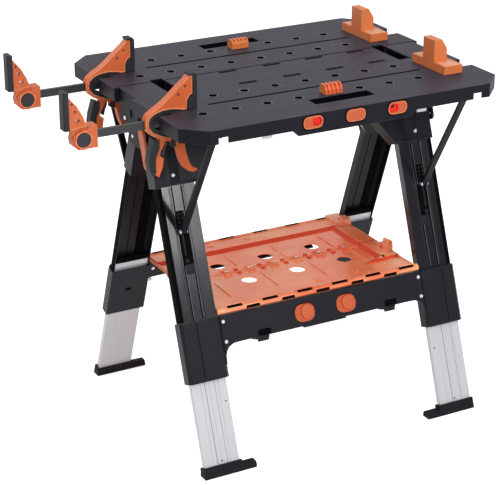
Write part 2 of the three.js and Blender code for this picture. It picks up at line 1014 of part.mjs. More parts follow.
function trayHingePin() {
  return prismX(circle(0, trayMidZ, trayPin, 8), -trayHalf, trayHalf);
}

// A bar clamp, in its own group on the line of a groove: y is 0 at the middle of its bar
const barMid = barLow + barHeight / 2;

// Its outlines are drawn from the clamping face (f) and the top of the bench (t)
function clampFrame() {
  const f = clampFace;
  const t = topHeight;
  const seat = t + fit;
  const back = smooth(
    [[f - 8, t + clampHeight], [f - 18, t + 62], [f - 37, t + 47], [f - 54, t + 32], [f - 72, t + 18],
      [f - 92, t + 7], [f - 105, t - 3], [f - 109.5, t - 16], [f - 108, t - 30], [f - 96, t - 45],
      [f - 79, t - 54], [f - 62, t - 61]],
    26,
  );
  const tip = [[f - 52, t - 62], [f - 50, t - 58], [f - 55, t - 55]];
  const throat = smooth(
    [[f - 62, t - 53], [f - 76, t - 47], [f - 92, t - 39], [f - 101, t - 27], [f - 102, t - 17],
      [f - 99, t - 8], [f - 89, t], [f - 71, t + 5], [f - 52, t + 6], [f - 34, t + 3.5]],
    22,
  );
  const under = [
    [f - 24, seat], [f - 13.4, seat], [f - 12.6, t + 20], [f - 7, t + 30], [f, t + 33], [f, t + clampHeight],
  ];
  let frame = prismY([...back, ...tip, ...throat, ...under], -clampThick / 2, clampThick / 2);
  const core = [
    ...coreBack(0),
    [f - 86.5, t - 134.6], [f - 80, t - 139.5], [f - 71.7, t - 120.5], [f - 68.3, t - 99],
    [f - 76.8, t - 93], [f - 77.5, t - 87], [f - 71.5, t - 77], [f - 66, t - 68], [f - 62, t - 58],
  ];
  frame = join(frame, prismY(core, -clampThick / 2 + 1, clampThick / 2 - 1));
  return cut(
    frame,
    box(
      f - 130,
      f - 60,
      -barThick / 2 - fit,
      barThick / 2 + fit,
      barLow - fit,
      barLow + barHeight + fit,
    ),
    prismY(circle(f - 16.6, t + 49.8, 3.5, 8), -clampThick, clampThick),
    prismY(circle(f - 33, t + 34, 4, 8), -clampThick, clampThick),
  );
}

// Back of the handle's core, where the grip lies against it
function coreBack(gap) {
  const f = clampFace - gap;
  const t = topHeight;
  return [[f - 76, t - 52], [f - 78.4, t - 75], [f - 86.5, t - 94], [f - 87.8, t - 105], [f - 86.9, t - 126]];
}

function clampGrip() {
  const f = clampFace;
  const t = topHeight;
  const [, ...inner] = coreBack(fit);
  const outer = [
    [f - 94, t - 135], [f - 101, t - 126], [f - 104, t - 104], [f - 101, t - 85], [f - 95, t - 66],
    [f - 92, t - 54], [f - 79.6, t - 59],
  ];
  return prismY([...inner, ...outer], -clampThick / 2 - 2, clampThick / 2 + 2);
}

function clampRelease() {
  const f = clampFace;
  const t = topHeight;
  return prismY(
    [[f - 63, t - 62], [f - 58, t - 62], [f - 59, t - 69], [f - 64, t - 81], [f - 67, t - 93],
      [f - 72, t - 91], [f - 73, t - 87], [f - 68, t - 77], [f - 63.5, t - 68]],
    -clampThick / 2 + 3,
    clampThick / 2 - 3,
  );
}

function clampTrigger() {
  const f = clampFace;
  const t = topHeight;
  const outer = smooth(
    [[f - 41, t - 67], [f - 35, t - 88], [f - 30, t - 109], [f - 21.6, t - 127], [f - 12, t - 136],
      [f, t - 140], [f + 9, t - 137.5]],
    12,
  );
  const inner = smooth(
    [[f + 9, t - 133.5], [f - 1, t - 130], [f - 9.6, t - 116], [f - 16, t - 95], [f - 19, t - 78],
      [f - 21, t - 67]],
    10,
  );
  const arm = [
    [f - 53, t - 66], [f - 52, t - 62.6], [f - 46, t - 62.6], [f - 38, t - 67], [f - 34, t - 74],
    [f - 36, t - 82],
  ];
  return join(
    prismY([...outer, ...inner], -clampThick / 2, clampThick / 2),
    prismY(arm, -clampThick / 4, clampThick / 4),
  );
}

// Pad on the clamping face, with a foot below and a hook over the top of the frame
function clampPad() {
  const f = clampFace;
  const t = topHeight;
  const high = t + clampHeight + fit + 0.3;
  return prismY(
    [[f + clampPadThick, t + 1], [f + clampPadThick, high], [f + clampPadThick - 4, high + 5],
      [f - 9, high + 5], [f - 9, high], [f + fit, high], [f + fit, t + 32.7], [f - 6.6, t + 29.5],
      [f - 12, t + 19.6], [f - 12.8, t + 1]],
    -clampPadWidth / 2,
    clampPadWidth / 2,
  );
}

function clampBar() {
  return box(barFrom, barTo, -barThick / 2, barThick / 2, barLow, barLow + barHeight);
}

function clampJaw() {
  const x = jawFace;
  const t = topHeight;
  const arm = [
    [x, t + 61], [x + 5, t + 61], [x + 20, t + 43], [x + 32, t + 21], [x + 40, t - 1], [x + 40, t - 25],
    [x + 6, t - 25], [x + 6, t - 5], [x, t - 3],
  ];
  const block = [
    [x + 60, t], [x + 60, t - 47], [x + 16, t - 47], [x + 8, t - 39], [x + 6, t - 27], [x + 9, t - 15],
    [x + 40, t - 6], [x + 46, t],
  ];
  let jaw = join(
    prismY(arm, -jawArm / 2, jawArm / 2),
    prismY(block, -jawBlock / 2, jawBlock / 2),
  );
  jaw = cut(
    jaw,
    box(
      barFrom - fit, x + 61, -barThick / 2 - fit, barThick / 2 + fit, barLow - fit, barLow + barHeight + fit,
    ),
    prismY(circle(x + 29, t - 27, buttonRadius + fit, 16), -jawBlock / 2 - 1, -jawBlock / 2 + 6),
    prismY(circle(x + 8, t + 49, 3, 8), -jawArm, jawArm),
    prismY(circle(x + 14, t + 32, 4.5, 8), -jawArm, jawArm),
    prismY(circle(x + 20, t + 12, 5, 8), -jawArm, jawArm),
  );
  return jaw;
}

function clampJawPad() {
  const y = clampPadWidth / 2 + 2;
  return prismZ(
    [[jawFace - fit, -y], [jawFace - fit, y], [jawFace - jawPadThick + 3, y], [jawFace - jawPadThick, y - 4],
      [jawFace - jawPadThick, -y + 4], [jawFace - jawPadThick + 3, -y]],
    topHeight - 4,
    topHeight - 4 + jawPadHeight,
  );
}

function clampButton() {
  return prismY(
    circle(jawFace + 29, topHeight - 27, buttonRadius, 16),
    -jawBlock / 2 - buttonProud,
    -jawBlock / 2 + 2.5,
  );
}

function clamp(end) {
  const group = new THREE.Group();
  group.position.y = end === 'rear' ? grooveY : -grooveY;
  group.add(meshOf(clampFrame(), `clamp_frame_${end}`, material(orange, 0.45, 0)));
  group.add(meshOf(clampGrip(), `clamp_grip_${end}`, material(softBlack, 0.75, 0)));
  group.add(meshOf(clampRelease(), `clamp_release_${end}`, material(black, 0.5, 0)));
  group.add(meshOf(clampTrigger(), `clamp_trigger_${end}`, material(orange, 0.45, 0)));
  group.add(meshOf(clampPad(), `clamp_pad_${end}`, material(softBlack, 0.8, 0)));
  group.add(meshOf(clampBar(), `clamp_bar_${end}`, material(black, 0.4, 0.6)));
  group.add(meshOf(clampJaw(), `clamp_jaw_${end}`, material(orange, 0.45, 0)));
  group.add(meshOf(clampJawPad(), `clamp_jaw_pad_${end}`, material(softBlack, 0.8, 0)));
  group.add(meshOf(clampButton(), `clamp_button_${end}`, material(black, 0.5, 0)));
  return group;
}

// A bench dog: a base across two holes, an upright face plate and two pegs
function dog() {
  const x0 = -dogSetback;
  const low = fit;
  let body = box(x0, x0 + dogDepth, -dogLength / 2, dogLength / 2, low, dogBase);
  body = join(body, prismY(
    [[x0, dogBase - 1], [x0 + dogPlateDepth, dogBase - 1], [x0 + dogPlateDepth, dogHeight - 22],
      [x0 + dogPlateDepth - 14, dogHeight], [x0, dogHeight]],
    -dogPlate / 2,
    dogPlate / 2,
  ));
  for (const y of [-gridY / 2, gridY / 2]) {
    body = join(body, prismZ(circle(0, y, holeDiameter / 2 - fit - 0.1, holeSides), -pegLength, low + 1));
  }
  return body;
}

const beamGroup = new THREE.Group();
beamGroup.add(meshOf(centreBeam(), 'centre_beam', material(anthracite, 0.6, 0)));
const rodEnd = socketOuter + cheekGap + cheekThick;
for (const [name, y] of [['front', -legPivotY], ['rear', legPivotY]]) {
  const rod = prismX(circle(y, legPivotZ, rodRadius, 10), -rodEnd, rodEnd);
  beamGroup.add(meshOf(rod, `leg_hinge_rod_${name}`, material(steel, 0.35, 0.9)));
}
beamGroup.add(meshOf(releaseLever(-1), 'release_lever_left', material(orange, 0.45, 0)));
beamGroup.add(meshOf(releaseLever(1), 'release_lever_right', material(orange, 0.45, 0)));
bench.add(beamGroup);

bench.add(meshOf(trayHingePin(), 'tray_hinge_pin', material(steel, 0.35, 0.9)));

for (const end of ['front', 'rear']) {
  const side = new THREE.Group();
  if (end === 'rear') side.rotation.z = Math.PI;
  side.add(wing(end));
  side.add(legFrame(end));
  side.add(meshOf(trayHalfBody(end), `tray_${end}`, material(trayOrange, 0.5, 0)));
  bench.add(side);
  bench.add(clamp(end));
  const dogMesh = meshOf(dog(), `dog_${end}`, material(orange, 0.45, 0));
  dogMesh.position.set(holeColumns[holesPerRow - 1], end === 'rear' ? grooveY : -grooveY, topHeight);
  bench.add(dogMesh);
}

// The clamps reach out further than the right end of the top, so the bench moves along by half of that
bench.position.x = (jawPadThick - jawFace - topLength / 2) / 2;

export default bench;
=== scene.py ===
import json
import math
import bpy
import numpy as np
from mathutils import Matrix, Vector

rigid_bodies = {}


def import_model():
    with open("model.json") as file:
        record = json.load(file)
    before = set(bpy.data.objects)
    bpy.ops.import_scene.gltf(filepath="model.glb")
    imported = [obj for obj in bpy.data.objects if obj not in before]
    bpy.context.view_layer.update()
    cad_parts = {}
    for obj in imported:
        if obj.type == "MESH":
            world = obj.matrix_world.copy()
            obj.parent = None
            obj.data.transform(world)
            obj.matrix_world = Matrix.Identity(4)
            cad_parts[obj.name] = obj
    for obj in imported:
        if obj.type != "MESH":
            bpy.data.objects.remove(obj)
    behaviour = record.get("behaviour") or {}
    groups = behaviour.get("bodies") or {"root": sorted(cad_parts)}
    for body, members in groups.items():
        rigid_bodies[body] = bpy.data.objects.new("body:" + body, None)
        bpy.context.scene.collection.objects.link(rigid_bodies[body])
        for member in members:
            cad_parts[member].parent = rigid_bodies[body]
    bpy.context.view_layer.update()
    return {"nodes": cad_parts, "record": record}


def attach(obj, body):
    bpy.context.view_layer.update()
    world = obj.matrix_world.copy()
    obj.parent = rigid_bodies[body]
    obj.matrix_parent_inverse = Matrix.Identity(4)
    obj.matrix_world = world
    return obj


for thing in list(bpy.data.objects):
    bpy.data.objects.remove(thing)  # Blender's own starting objects
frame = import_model()
scene = bpy.context.scene
nodes = frame["nodes"]
print("frame loaded,", len(nodes), "nodes")

# ---- shapes: all in bench millimetres, x from the middle of the top, then moved to the frame ----
benchShift = np.array([103.0, 0.0, 0.0])
legLean = math.radians(20)


def asIs(points):
    return points


# the rear of the bench is the front turned half round
def turnedRound(points):
    return points * np.array([-1.0, -1.0, 1.0])


# a point (x, out, along) of a leg frame: out from the pivot plane, along the leg from the pivot
def legSeat(end):
    def seat(points):
        x, out, along = points[:, 0], points[:, 1], points[:, 2]
        y = -20 - out * math.cos(legLean) + along * math.sin(legLean)
        z = 699 + out * math.sin(legLean) + along * math.cos(legLean)
        placed = np.stack([x, y, z], -1)
        return turnedRound(placed) if end == "rear" else placed
    return seat


def endSeat(end):
    return turnedRound if end == "rear" else asIs


# rings of equal length joined by quads, each end closed by a fan from its middle
def stack(rings):
    m, n = rings.shape[:2]
    index = np.arange(m * n).reshape(m, n)
    low, high = index[:-1], index[1:]
    quads = np.stack([low, np.roll(low, -1, 1), np.roll(high, -1, 1), high], -1).reshape(-1, 4)
    ends = []
    for row, middle, way in ((index[0], m * n, 1), (index[-1], m * n + 1, -1)):
        fan = np.stack([np.full(n, middle), np.roll(row, -1), row], -1)
        ends.append(fan[:, ::way])
    points = np.concatenate([rings.reshape(-1, 3), rings[:1].mean(1), rings[-1:].mean(1)])
    return points, [quads, *ends]


# rings joined in a circle, so the surface closes both ways
def hoop(rings):
    m, n = rings.shape[:2]
    index = np.arange(m * n).reshape(m, n)
    after = np.roll(index, -1, 0)
    quads = np.stack([index, np.roll(index, -1, 1), np.roll(after, -1, 1), after], -1).reshape(-1, 4)
    return rings.reshape(-1, 3), [quads]


# rounded block: half sizes times signed powers of cosine and sine of latitude and longitude
def softBlock(centre, size, soft=0.2, rows=9, columns=24, turn=None):
    lat = np.linspace(-math.pi / 2, math.pi / 2, rows + 2)[1:-1, None]
    lon = np.linspace(-math.pi, math.pi, columns, endpoint=False)[None] + math.pi / columns
    power = lambda w: np.sign(w) * np.abs(w) ** soft
    wide = np.stack([
        power(np.cos(lat)) * power(np.cos(lon)),
        power(np.cos(lat)) * power(np.sin(lon)),
        power(np.sin(lat)) * np.ones_like(lon),
    ], -1) * (np.array(size) / 2)
    if turn is not None:
        wide = wide @ np.array(turn).T
    return stack(wide + np.array(centre))


# a profile of (radius, height) turned round an axis through a centre
def turnedShape(profile, centre, axis, sides=20):
    axis = np.array(axis, float) / np.linalg.norm(axis)
    helper = np.array([0.0, 0.0, 1.0]) if abs(axis[2]) < 0.9 else np.array([1.0, 0.0, 0.0])
    first = np.cross(helper, axis)
    first /= np.linalg.norm(first)
    second = np.cross(axis, first)
    angle = np.linspace(0, 2 * math.pi, sides, endpoint=False)
    round1 = np.cos(angle)[:, None] * first + np.sin(angle)[:, None] * second
    profile = np.array(profile, float)
    return np.array(centre) + profile[:, 0, None, None] * round1 + profile[:, 1, None, None] * axis


# a closed path carries a profile of (side, up): side along the path's own normal, up along the given axis
def carried(path, profile, up):
    path, up, profile = np.array(path, float), np.array(up, float), np.array(profile, float)
    ahead = np.roll(path, -1, 0) - path
    ahead /= np.linalg.norm(ahead, axis=1)[:, None] + 1e-12
    behind = np.roll(ahead, 1, 0)
    sideways = np.cross(up, ahead) + np.cross(up, behind)
    length = np.linalg.norm(sideways, axis=1)[:, None]
    sideways = sideways / (length + 1e-12) * np.clip(2 / (length + 1e-12), 1, 1.6)
    return hoop(path[:, None] + profile[None, :, 0, None] * sideways[:, None] + profile[None, :, 1, None] * up)


class Pile:
    def __init__(self):
        self.points, self.faces, self.count = [], [], 0

    def add(self, shape, seat=asIs, raw=False):
        points, faces = shape
        points = seat(np.asarray(points, float))
        size = 0.0  # signed volume, so that faces end up pointing outwards
        for block in faces:
            for k in range(1, block.shape[1] - 1):
                a, b, c = points[block[:, 0]], points[block[:, k]], points[block[:, k + 1]]
                size += np.einsum("ij,ij->", a, np.cross(b, c))
        for block in faces:
            self.faces.append((block[:, ::-1] if size < 0 else block) + self.count)
        self.points.append(points if raw else (points + benchShift) / 1000)
        self.count += len(points)

    def piece(self, name, look, body, slot):
        mesh = bpy.data.meshes.new(name)
        mesh.from_pydata(np.concatenate(self.points).tolist(), [], [f for b in self.faces for f in b.tolist()])
        mesh.shade_smooth()
        mesh.set_sharp_from_angle(angle=math.radians(42))
        mesh.materials.append(look)
        made = bpy.data.objects.new(name, mesh)
        scene.collection.objects.link(made)
        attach(made, body)
        return made


# edge loops of a node's flat faces that look along one axis and lie furthest that way, in metres
def faceLoops(name, axis, sign):
    mesh = nodes[name].data
    points = np.zeros(len(mesh.vertices) * 3)
    mesh.vertices.foreach_get("co", points)
    points = points.reshape(-1, 3)
    corners = np.zeros(len(mesh.polygons) * 3, int)
    mesh.polygons.foreach_get("vertices", corners)
    keys, where = np.unique(np.round(points, 5), axis=0, return_inverse=True)
    corners = where.reshape(-1)[corners].reshape(-1, 3)
    a, b, c = keys[corners[:, 0]], keys[corners[:, 1]], keys[corners[:, 2]]
    normal = np.cross(b - a, c - a)
    normal /= np.linalg.norm(normal, axis=1)[:, None] + 1e-15
    middle = (a + b + c)[:, axis] / 3
    facing = normal[:, axis] * sign > 0.999
    limit = (middle[facing] * sign).max() - 2e-5
    corners = corners[facing & (middle * sign > limit)]
    edges = np.concatenate([corners[:, [0, 1]], corners[:, [1, 2]], corners[:, [2, 0]]])
    present = set(map(tuple, edges.tolist()))
    follow = {i: j for i, j in present if (j, i) not in present}
    loops = []
    while follow:
        start, at = follow.popitem()
        loop = [start]
        while at != start and at in follow:
            loop.append(at)
            at = follow.pop(at)
        loops.append(keys[loop])
    return sorted(loops, key=lambda p: -np.ptp(p, axis=0).max())


# points spread evenly along a closed path
def evenly(path, step):
    closed = np.concatenate([path, path[:1]])
    run = np.concatenate([[0], np.cumsum(np.linalg.norm(np.diff(closed, axis=0), axis=1))])
    at = np.linspace(0, run[-1], max(int(run[-1] / step), 12), endpoint=False)
    return np.stack([np.interp(at, run, closed[:, k]) for k in range(3)], -1)


# ---- shader groups and materials ----
# display values 0 to 255 as linear colour
def shade(*display):
    w = np.array(display) / 255
    return (*np.where(w <= 0.04045, w / 12.92, ((w + 0.055) / 1.055) ** 2.4).tolist(), 1.0)


def node(tree, kind, links=None, **settings):
    made = tree.nodes.new("ShaderNode" + kind)
    for key, value in settings.items():
        setattr(made, key, value)
    for key, value in (links or {}).items():
        if isinstance(value, bpy.types.NodeSocket):
            tree.links.new(value, made.inputs[key])
        else:
            made.inputs[key].default_value = value
    return made


def newGroup(name, ins, outs):
    tree = bpy.data.node_groups.new(name, "ShaderNodeTree")
    kinds = {"value": "NodeSocketFloat", "colour": "NodeSocketColor", "vector": "NodeSocketVector"}
    for label, kind, start in ins:
        socket = tree.interface.new_socket(label, in_out="INPUT", socket_type=kinds[kind])
        socket.default_value = start
    for label, kind in outs:
        tree.interface.new_socket(label, in_out="OUTPUT", socket_type=kinds[kind])
    return tree, tree.nodes.new("NodeGroupInput").outputs, tree.nodes.new("NodeGroupOutput").inputs


def useGroup(tree, group, values):
    made = tree.nodes.new("ShaderNodeGroup")
    made.node_tree = group
    for key, value in values.items():
        made.inputs[key].default_value = value
    return made.outputs


def ramp(tree, value, low, high, outLow=0.0, outHigh=1.0):
    links = {"Value": value, "From Min": low, "From Max": high, "To Min": outLow, "To Max": outHigh}
    return node(tree, "MapRange", links, clamp=True).outputs["Result"]


def sums(tree, how, a, b):
    return node(tree, "Math", {0: a, 1: b}, operation=how).outputs[0]


def mixed(tree, factor, a, b):
    made = node(tree, "Mix", {0: factor}, data_type="RGBA")
    for key, value in ((6, a), (7, b)):
        if isinstance(value, bpy.types.NodeSocket):
            tree.links.new(value, made.inputs[key])
        else:
            made.inputs[key].default_value = value
    return made.outputs[2]


# rounded edges: the normal turns over a small radius, and Edge says how far it has turned
edgeTree, given, result = newGroup("softEdge", [("Radius", "value", 0.001)], [("Normal", "vector"), ("Edge", "value")])
turnedNormal = node(edgeTree, "Bevel", {"Radius": given["Radius"]}, samples=8).outputs[0]
faceNormal = node(edgeTree, "NewGeometry").outputs["Normal"]
along = node(edgeTree, "VectorMath", {0: turnedNormal, 1: faceNormal}, operation="DOT_PRODUCT").outputs["Value"]
edgeTree.links.new(turnedNormal, result["Normal"])
edgeTree.links.new(ramp(edgeTree, along, 0.99, 0.80), result["Edge"])

# fine leather-like grain of a mould, as a height
grainTree, given, result = newGroup("mouldGrain", [("Scale", "value", 900.0)], [("Height", "value")])
place = node(grainTree, "TexCoord").outputs["Object"]
pits = node(grainTree, "TexVoronoi", {"Vector": place, "Scale": given["Scale"]}, feature="SMOOTH_F1").outputs["Distance"]
fuzz = node(grainTree, "TexNoise", {"Vector": place, "Scale": given["Scale"], "Detail": 3.0}).outputs[0]
grainTree.links.new(sums(grainTree, "ADD", pits, sums(grainTree, "MULTIPLY", fuzz, 0.6)), result["Height"])

# slow cloudy change from handling and flow of the plastic, 0 to 1; on the tray, with its wide peach to red spread, it
# paints patches of sheen and shade
cloudTree, given, result = newGroup("handlingAndTrayShade", [("Scale", "value", 12.0)], [("Tone", "value"), ("Rub", "value")])
place = node(cloudTree, "TexCoord").outputs["Object"]
cloud = node(cloudTree, "TexNoise", {"Vector": place, "Scale": given["Scale"], "Detail": 4.0, "Roughness": 0.6}).outputs[0]
speck = node(cloudTree, "TexNoise", {"Vector": place, "Scale": sums(cloudTree, "MULTIPLY", given["Scale"], 9.0), "Detail": 5.0}).outputs[0]
cloudTree.links.new(ramp(cloudTree, cloud, 0.32, 0.68), result["Tone"])
cloudTree.links.new(ramp(cloudTree, speck, 0.35, 0.7), result["Rub"])

# straight drawing lines of an extrusion, along a leg that leans to one side
drawTree, given, result = newGroup("drawnLines", [("Lean", "value", 0.35), ("Fine", "value", 700.0)], [("Line", "value")])
place = node(drawTree, "TexCoord").outputs["Object"]
spin = node(drawTree, "CombineXYZ", {0: given["Lean"]}).outputs[0]
flat = node(drawTree, "VectorRotate", {"Vector": place, "Rotation": spin}, rotation_type="EULER_XYZ").outputs[0]
part = node(drawTree, "SeparateXYZ", {0: flat}).outputs
thin = node(drawTree, "CombineXYZ", {0: part[0], 1: part[1], 2: sums(drawTree, "MULTIPLY", part[2], 0.004)}).outputs[0]
line = node(drawTree, "TexNoise", {"Vector": thin, "Scale": given["Fine"], "Detail": 3.0}).outputs[0]
drawTree.links.new(line, result["Line"])


def blankMaterial(name):
    made = bpy.data.materials.new(name)
    made.use_nodes = True
    return made, made.node_tree, made.node_tree.nodes["Principled BSDF"]


# moulded plastic or rubber: grain, cloudy tone, and paler edges that are partly rubbed wear and partly a painted
# highlight along the edges
def moulded(name, look):
    made, tree, skin = blankMaterial(name)
    edge = useGroup(tree, edgeTree, {"Radius": look["round"]})
    grain = useGroup(tree, grainTree, {"Scale": look["grain"]})
    cloud = useGroup(tree, cloudTree, {"Scale": look["mottle"]})
    body = mixed(tree, cloud["Tone"], look["deep"], look["colour"])
    if "litUpper" in look:  # the skin facing up, above a set height, is painted paler as lit from above, with fine streaks along its length
        place = node(tree, "TexCoord").outputs["Object"]
        part = node(tree, "SeparateXYZ", {0: place}).outputs
        drawn = node(tree, "CombineXYZ", {0: sums(tree, "MULTIPLY", part[0], 0.06), 1: part[1]}).outputs[0]
        streak = node(tree, "TexNoise", {"Vector": drawn, "Scale": 130.0, "Detail": 4.0}).outputs[0]
        litSkinTone = mixed(tree, ramp(tree, streak, 0.36, 0.64), look["litUpperDeep"], look["litUpper"])
        body = mixed(tree, ramp(tree, part[2], look["litUpperFrom"], look["litUpperFrom"] + 0.001), body, litSkinTone)
    # edges mixed towards the pale colour: rubbed wear together with a painted highlight on the edges
    wearAndSheenMask = sums(tree, "MULTIPLY", sums(tree, "MULTIPLY", edge["Edge"], cloud["Rub"]), look["wearAndSheen"])
    tree.links.new(mixed(tree, wearAndSheenMask, body, look["pale"]), skin.inputs["Base Color"])
    tree.links.new(ramp(tree, cloud["Rub"], 0, 1, look["rough"] - look["vary"], look["rough"] + look["vary"]), skin.inputs["Roughness"])
    bump = node(tree, "Bump", {"Strength": look["bump"], "Distance": 0.0002, "Height": grain["Height"], "Normal": edge["Normal"]})
    tree.links.new(bump.outputs[0], skin.inputs["Normal"])
    skin.inputs["Specular IOR Level"].default_value = look["shine"]
    return made


# painted or drawn metal: lines along the leg, cloudy tone, and bright edges that are partly worn paint and partly a
# painted highlight along the edges
def drawnMetal(name, look, end="front"):
    made, tree, skin = blankMaterial(name)
    edge = useGroup(tree, edgeTree, {"Radius": look["round"]})
    lines = useGroup(tree, drawTree, {"Lean": legLean if end == "front" else -legLean, "Fine": look["fine"]})
    cloud = useGroup(tree, cloudTree, {"Scale": look["mottle"]})
    body = mixed(tree, ramp(tree, lines["Line"], 0.3, 0.7), look["deep"], look["colour"])
    # edges mixed towards the pale colour: worn edges together with a painted highlight on the edges
    wearAndSheenMask = sums(tree, "MULTIPLY", edge["Edge"], look["wearAndSheen"])
    tree.links.new(mixed(tree, wearAndSheenMask, body, look["pale"]), skin.inputs["Base Color"])
    rough = sums(tree, "ADD", ramp(tree, lines["Line"], 0.3, 0.7, -0.04, 0.04), ramp(tree, cloud["Tone"], 0, 1, look["rough"] - 0.04, look["rough"] + 0.04))
    tree.links.new(rough, skin.inputs["Roughness"])
    bump = node(tree, "Bump", {"Strength": look["bump"], "Distance": 0.0001, "Height": lines["Line"], "Normal": edge["Normal"]})
    tree.links.new(bump.outputs[0], skin.inputs["Normal"])
    skin.inputs["Metallic"].default_value = look["metal"]
    skin.inputs["Specular IOR Level"].default_value = look["shine"]
    return made


# in each look, pale is the colour the edges are mixed towards: partly rubbed wear, partly a painted highlight
plastics = {
    # top: the upward skin above 0.8034 m takes paler colours, painted light on the top face
    "top": dict(colour=shade(24, 23, 32), deep=shade(22, 21, 29), pale=shade(112, 110, 122), rough=0.48, grain=900.0,
                bump=0.1, round=0.0016, mottle=5.0, wearAndSheen=0.7, shine=0.1, vary=0.012,
                litUpper=shade(58, 55, 66), litUpperDeep=shade(47, 45, 54), litUpperFrom=0.8034),
    "frame": dict(colour=shade(30, 30, 37), deep=shade(26, 26, 33), pale=shade(78, 78, 88), rough=0.4, grain=1100.0,
                  bump=0.25, round=0.0014, mottle=14.0, wearAndSheen=0.6, shine=0.15),
    "accent": dict(colour=shade(186, 86, 43), deep=shade(180, 79, 37), pale=shade(220, 140, 100), rough=0.42,
                   grain=1000.0, bump=0.18, round=0.0012, mottle=16.0, wearAndSheen=0.7, shine=0.4),
    "clamp": dict(colour=shade(213, 108, 64), deep=shade(204, 96, 54), pale=shade(230, 150, 112), rough=0.44,
                  grain=1000.0, bump=0.18, round=0.0014, mottle=18.0, wearAndSheen=0.7, shine=0.09),
    "lever": dict(colour=shade(214, 116, 70), deep=shade(206, 104, 58), pale=shade(228, 156, 122), rough=0.42,
                  grain=1000.0, bump=0.18, round=0.001, mottle=18.0, wearAndSheen=0.7, shine=0.18),
    # tray: peach to red across the cloudy tone, painted patches of sheen and shade
    "tray": dict(colour=shade(255, 172, 120), deep=shade(240, 98, 58), pale=shade(255, 190, 150), rough=0.27,
                 grain=1500.0, bump=0.03, round=0.0014, mottle=5.0, wearAndSheen=0.4, shine=0.55, vary=0.01),
    "grip": dict(colour=shade(42, 42, 45), deep=shade(36, 36, 39), pale=shade(66, 66, 70), rough=0.62, grain=1300.0,
                 bump=0.3, round=0.0018, mottle=20.0, wearAndSheen=0.5, shine=0.25),
    "trim": dict(colour=shade(44, 44, 48), deep=shade(38, 38, 42), pale=shade(76, 76, 82), rough=0.5, grain=1200.0,
                 bump=0.2, round=0.001, mottle=20.0, wearAndSheen=0.5, shine=0.3),
    "foot": dict(colour=shade(29, 28, 34), deep=shade(23, 22, 27), pale=shade(70, 70, 74), rough=0.7, grain=700.0,
                 bump=0.4, round=0.002, mottle=22.0, wearAndSheen=0.6, shine=0.12),
    "collar": dict(colour=shade(30, 30, 33), deep=shade(24, 24, 27), pale=shade(70, 70, 76), rough=0.5, grain=1200.0,
                   bump=0.1, round=0.0004, mottle=30.0, wearAndSheen=0.5, shine=0.12),
    # near-black painted shade: in holes, grooves, slots, seams, pockets and the insides of channels
    "paintedShadeBlack": dict(colour=shade(10, 10, 12), deep=shade(7, 7, 8), pale=shade(24, 24, 27), rough=0.8, grain=1200.0,
                      bump=0.1, round=0.0004, mottle=30.0, wearAndSheen=0.2, shine=0.03),
    # red painted shade: in the latch knob's cuts, the inserts' pockets and round the cap knobs
    "paintedShadeRed": dict(colour=shade(232, 30, 22), deep=shade(214, 24, 18), pale=shade(238, 70, 56), rough=0.45, grain=1000.0,
                   bump=0.1, round=0.0005, mottle=30.0, wearAndSheen=0.4, shine=0.25),
    "dog": dict(colour=shade(214, 119, 66), deep=shade(208, 111, 58), pale=shade(244, 172, 132), rough=0.44, grain=1000.0,
                bump=0.14, round=0.0012, mottle=16.0, wearAndSheen=0.7, shine=0.35),
    # red-orange painted shade: tray walls, plates beside the clips, and the gap round the jaw's boss
    "paintedShadeOrange": dict(colour=shade(226, 76, 44), deep=shade(216, 62, 34), pale=shade(244, 130, 92), rough=0.5, grain=1400.0,
                     bump=0.04, round=0.0008, mottle=6.0, wearAndSheen=0.5, shine=0.15),
    "jaw": dict(colour=shade(204, 110, 72), deep=shade(196, 98, 62), pale=shade(226, 152, 120), rough=0.44, grain=1000.0,
                bump=0.18, round=0.0014, mottle=18.0, wearAndSheen=0.7, shine=0.1),
    "knob": dict(colour=shade(200, 92, 49), deep=shade(190, 82, 40), pale=shade(230, 150, 112), rough=0.4, grain=1000.0,
                 bump=0.14, round=0.0008, mottle=26.0, wearAndSheen=0.7, shine=0.4),
    # paler orange for raised rims and the jaw's boss ring, a painted highlight on their edges
    "rim": dict(colour=shade(220, 138, 98), deep=shade(214, 128, 86), pale=shade(232, 168, 134), rough=0.38, grain=1000.0,
                bump=0.12, round=0.0008, mottle=18.0, wearAndSheen=0.7, shine=0.15),
    # grey hole lips with near-white edges, painted glints round the dog holes
    "holeLipGlint": dict(colour=shade(74, 73, 82), deep=shade(62, 61, 70), pale=shade(206, 206, 212), rough=0.2, grain=1200.0,
                    bump=0.08, round=0.0004, mottle=30.0, wearAndSheen=0.8, shine=0.5),
    # pale orange painted light for the upward faces of the dogs' bases
    "litPatchPale": dict(colour=shade(224, 164, 130), deep=shade(214, 146, 110), pale=shade(234, 190, 164), rough=0.5, grain=500.0,
                     bump=0.6, round=0.0006, mottle=30.0, wearAndSheen=0.5, shine=0.4),
}
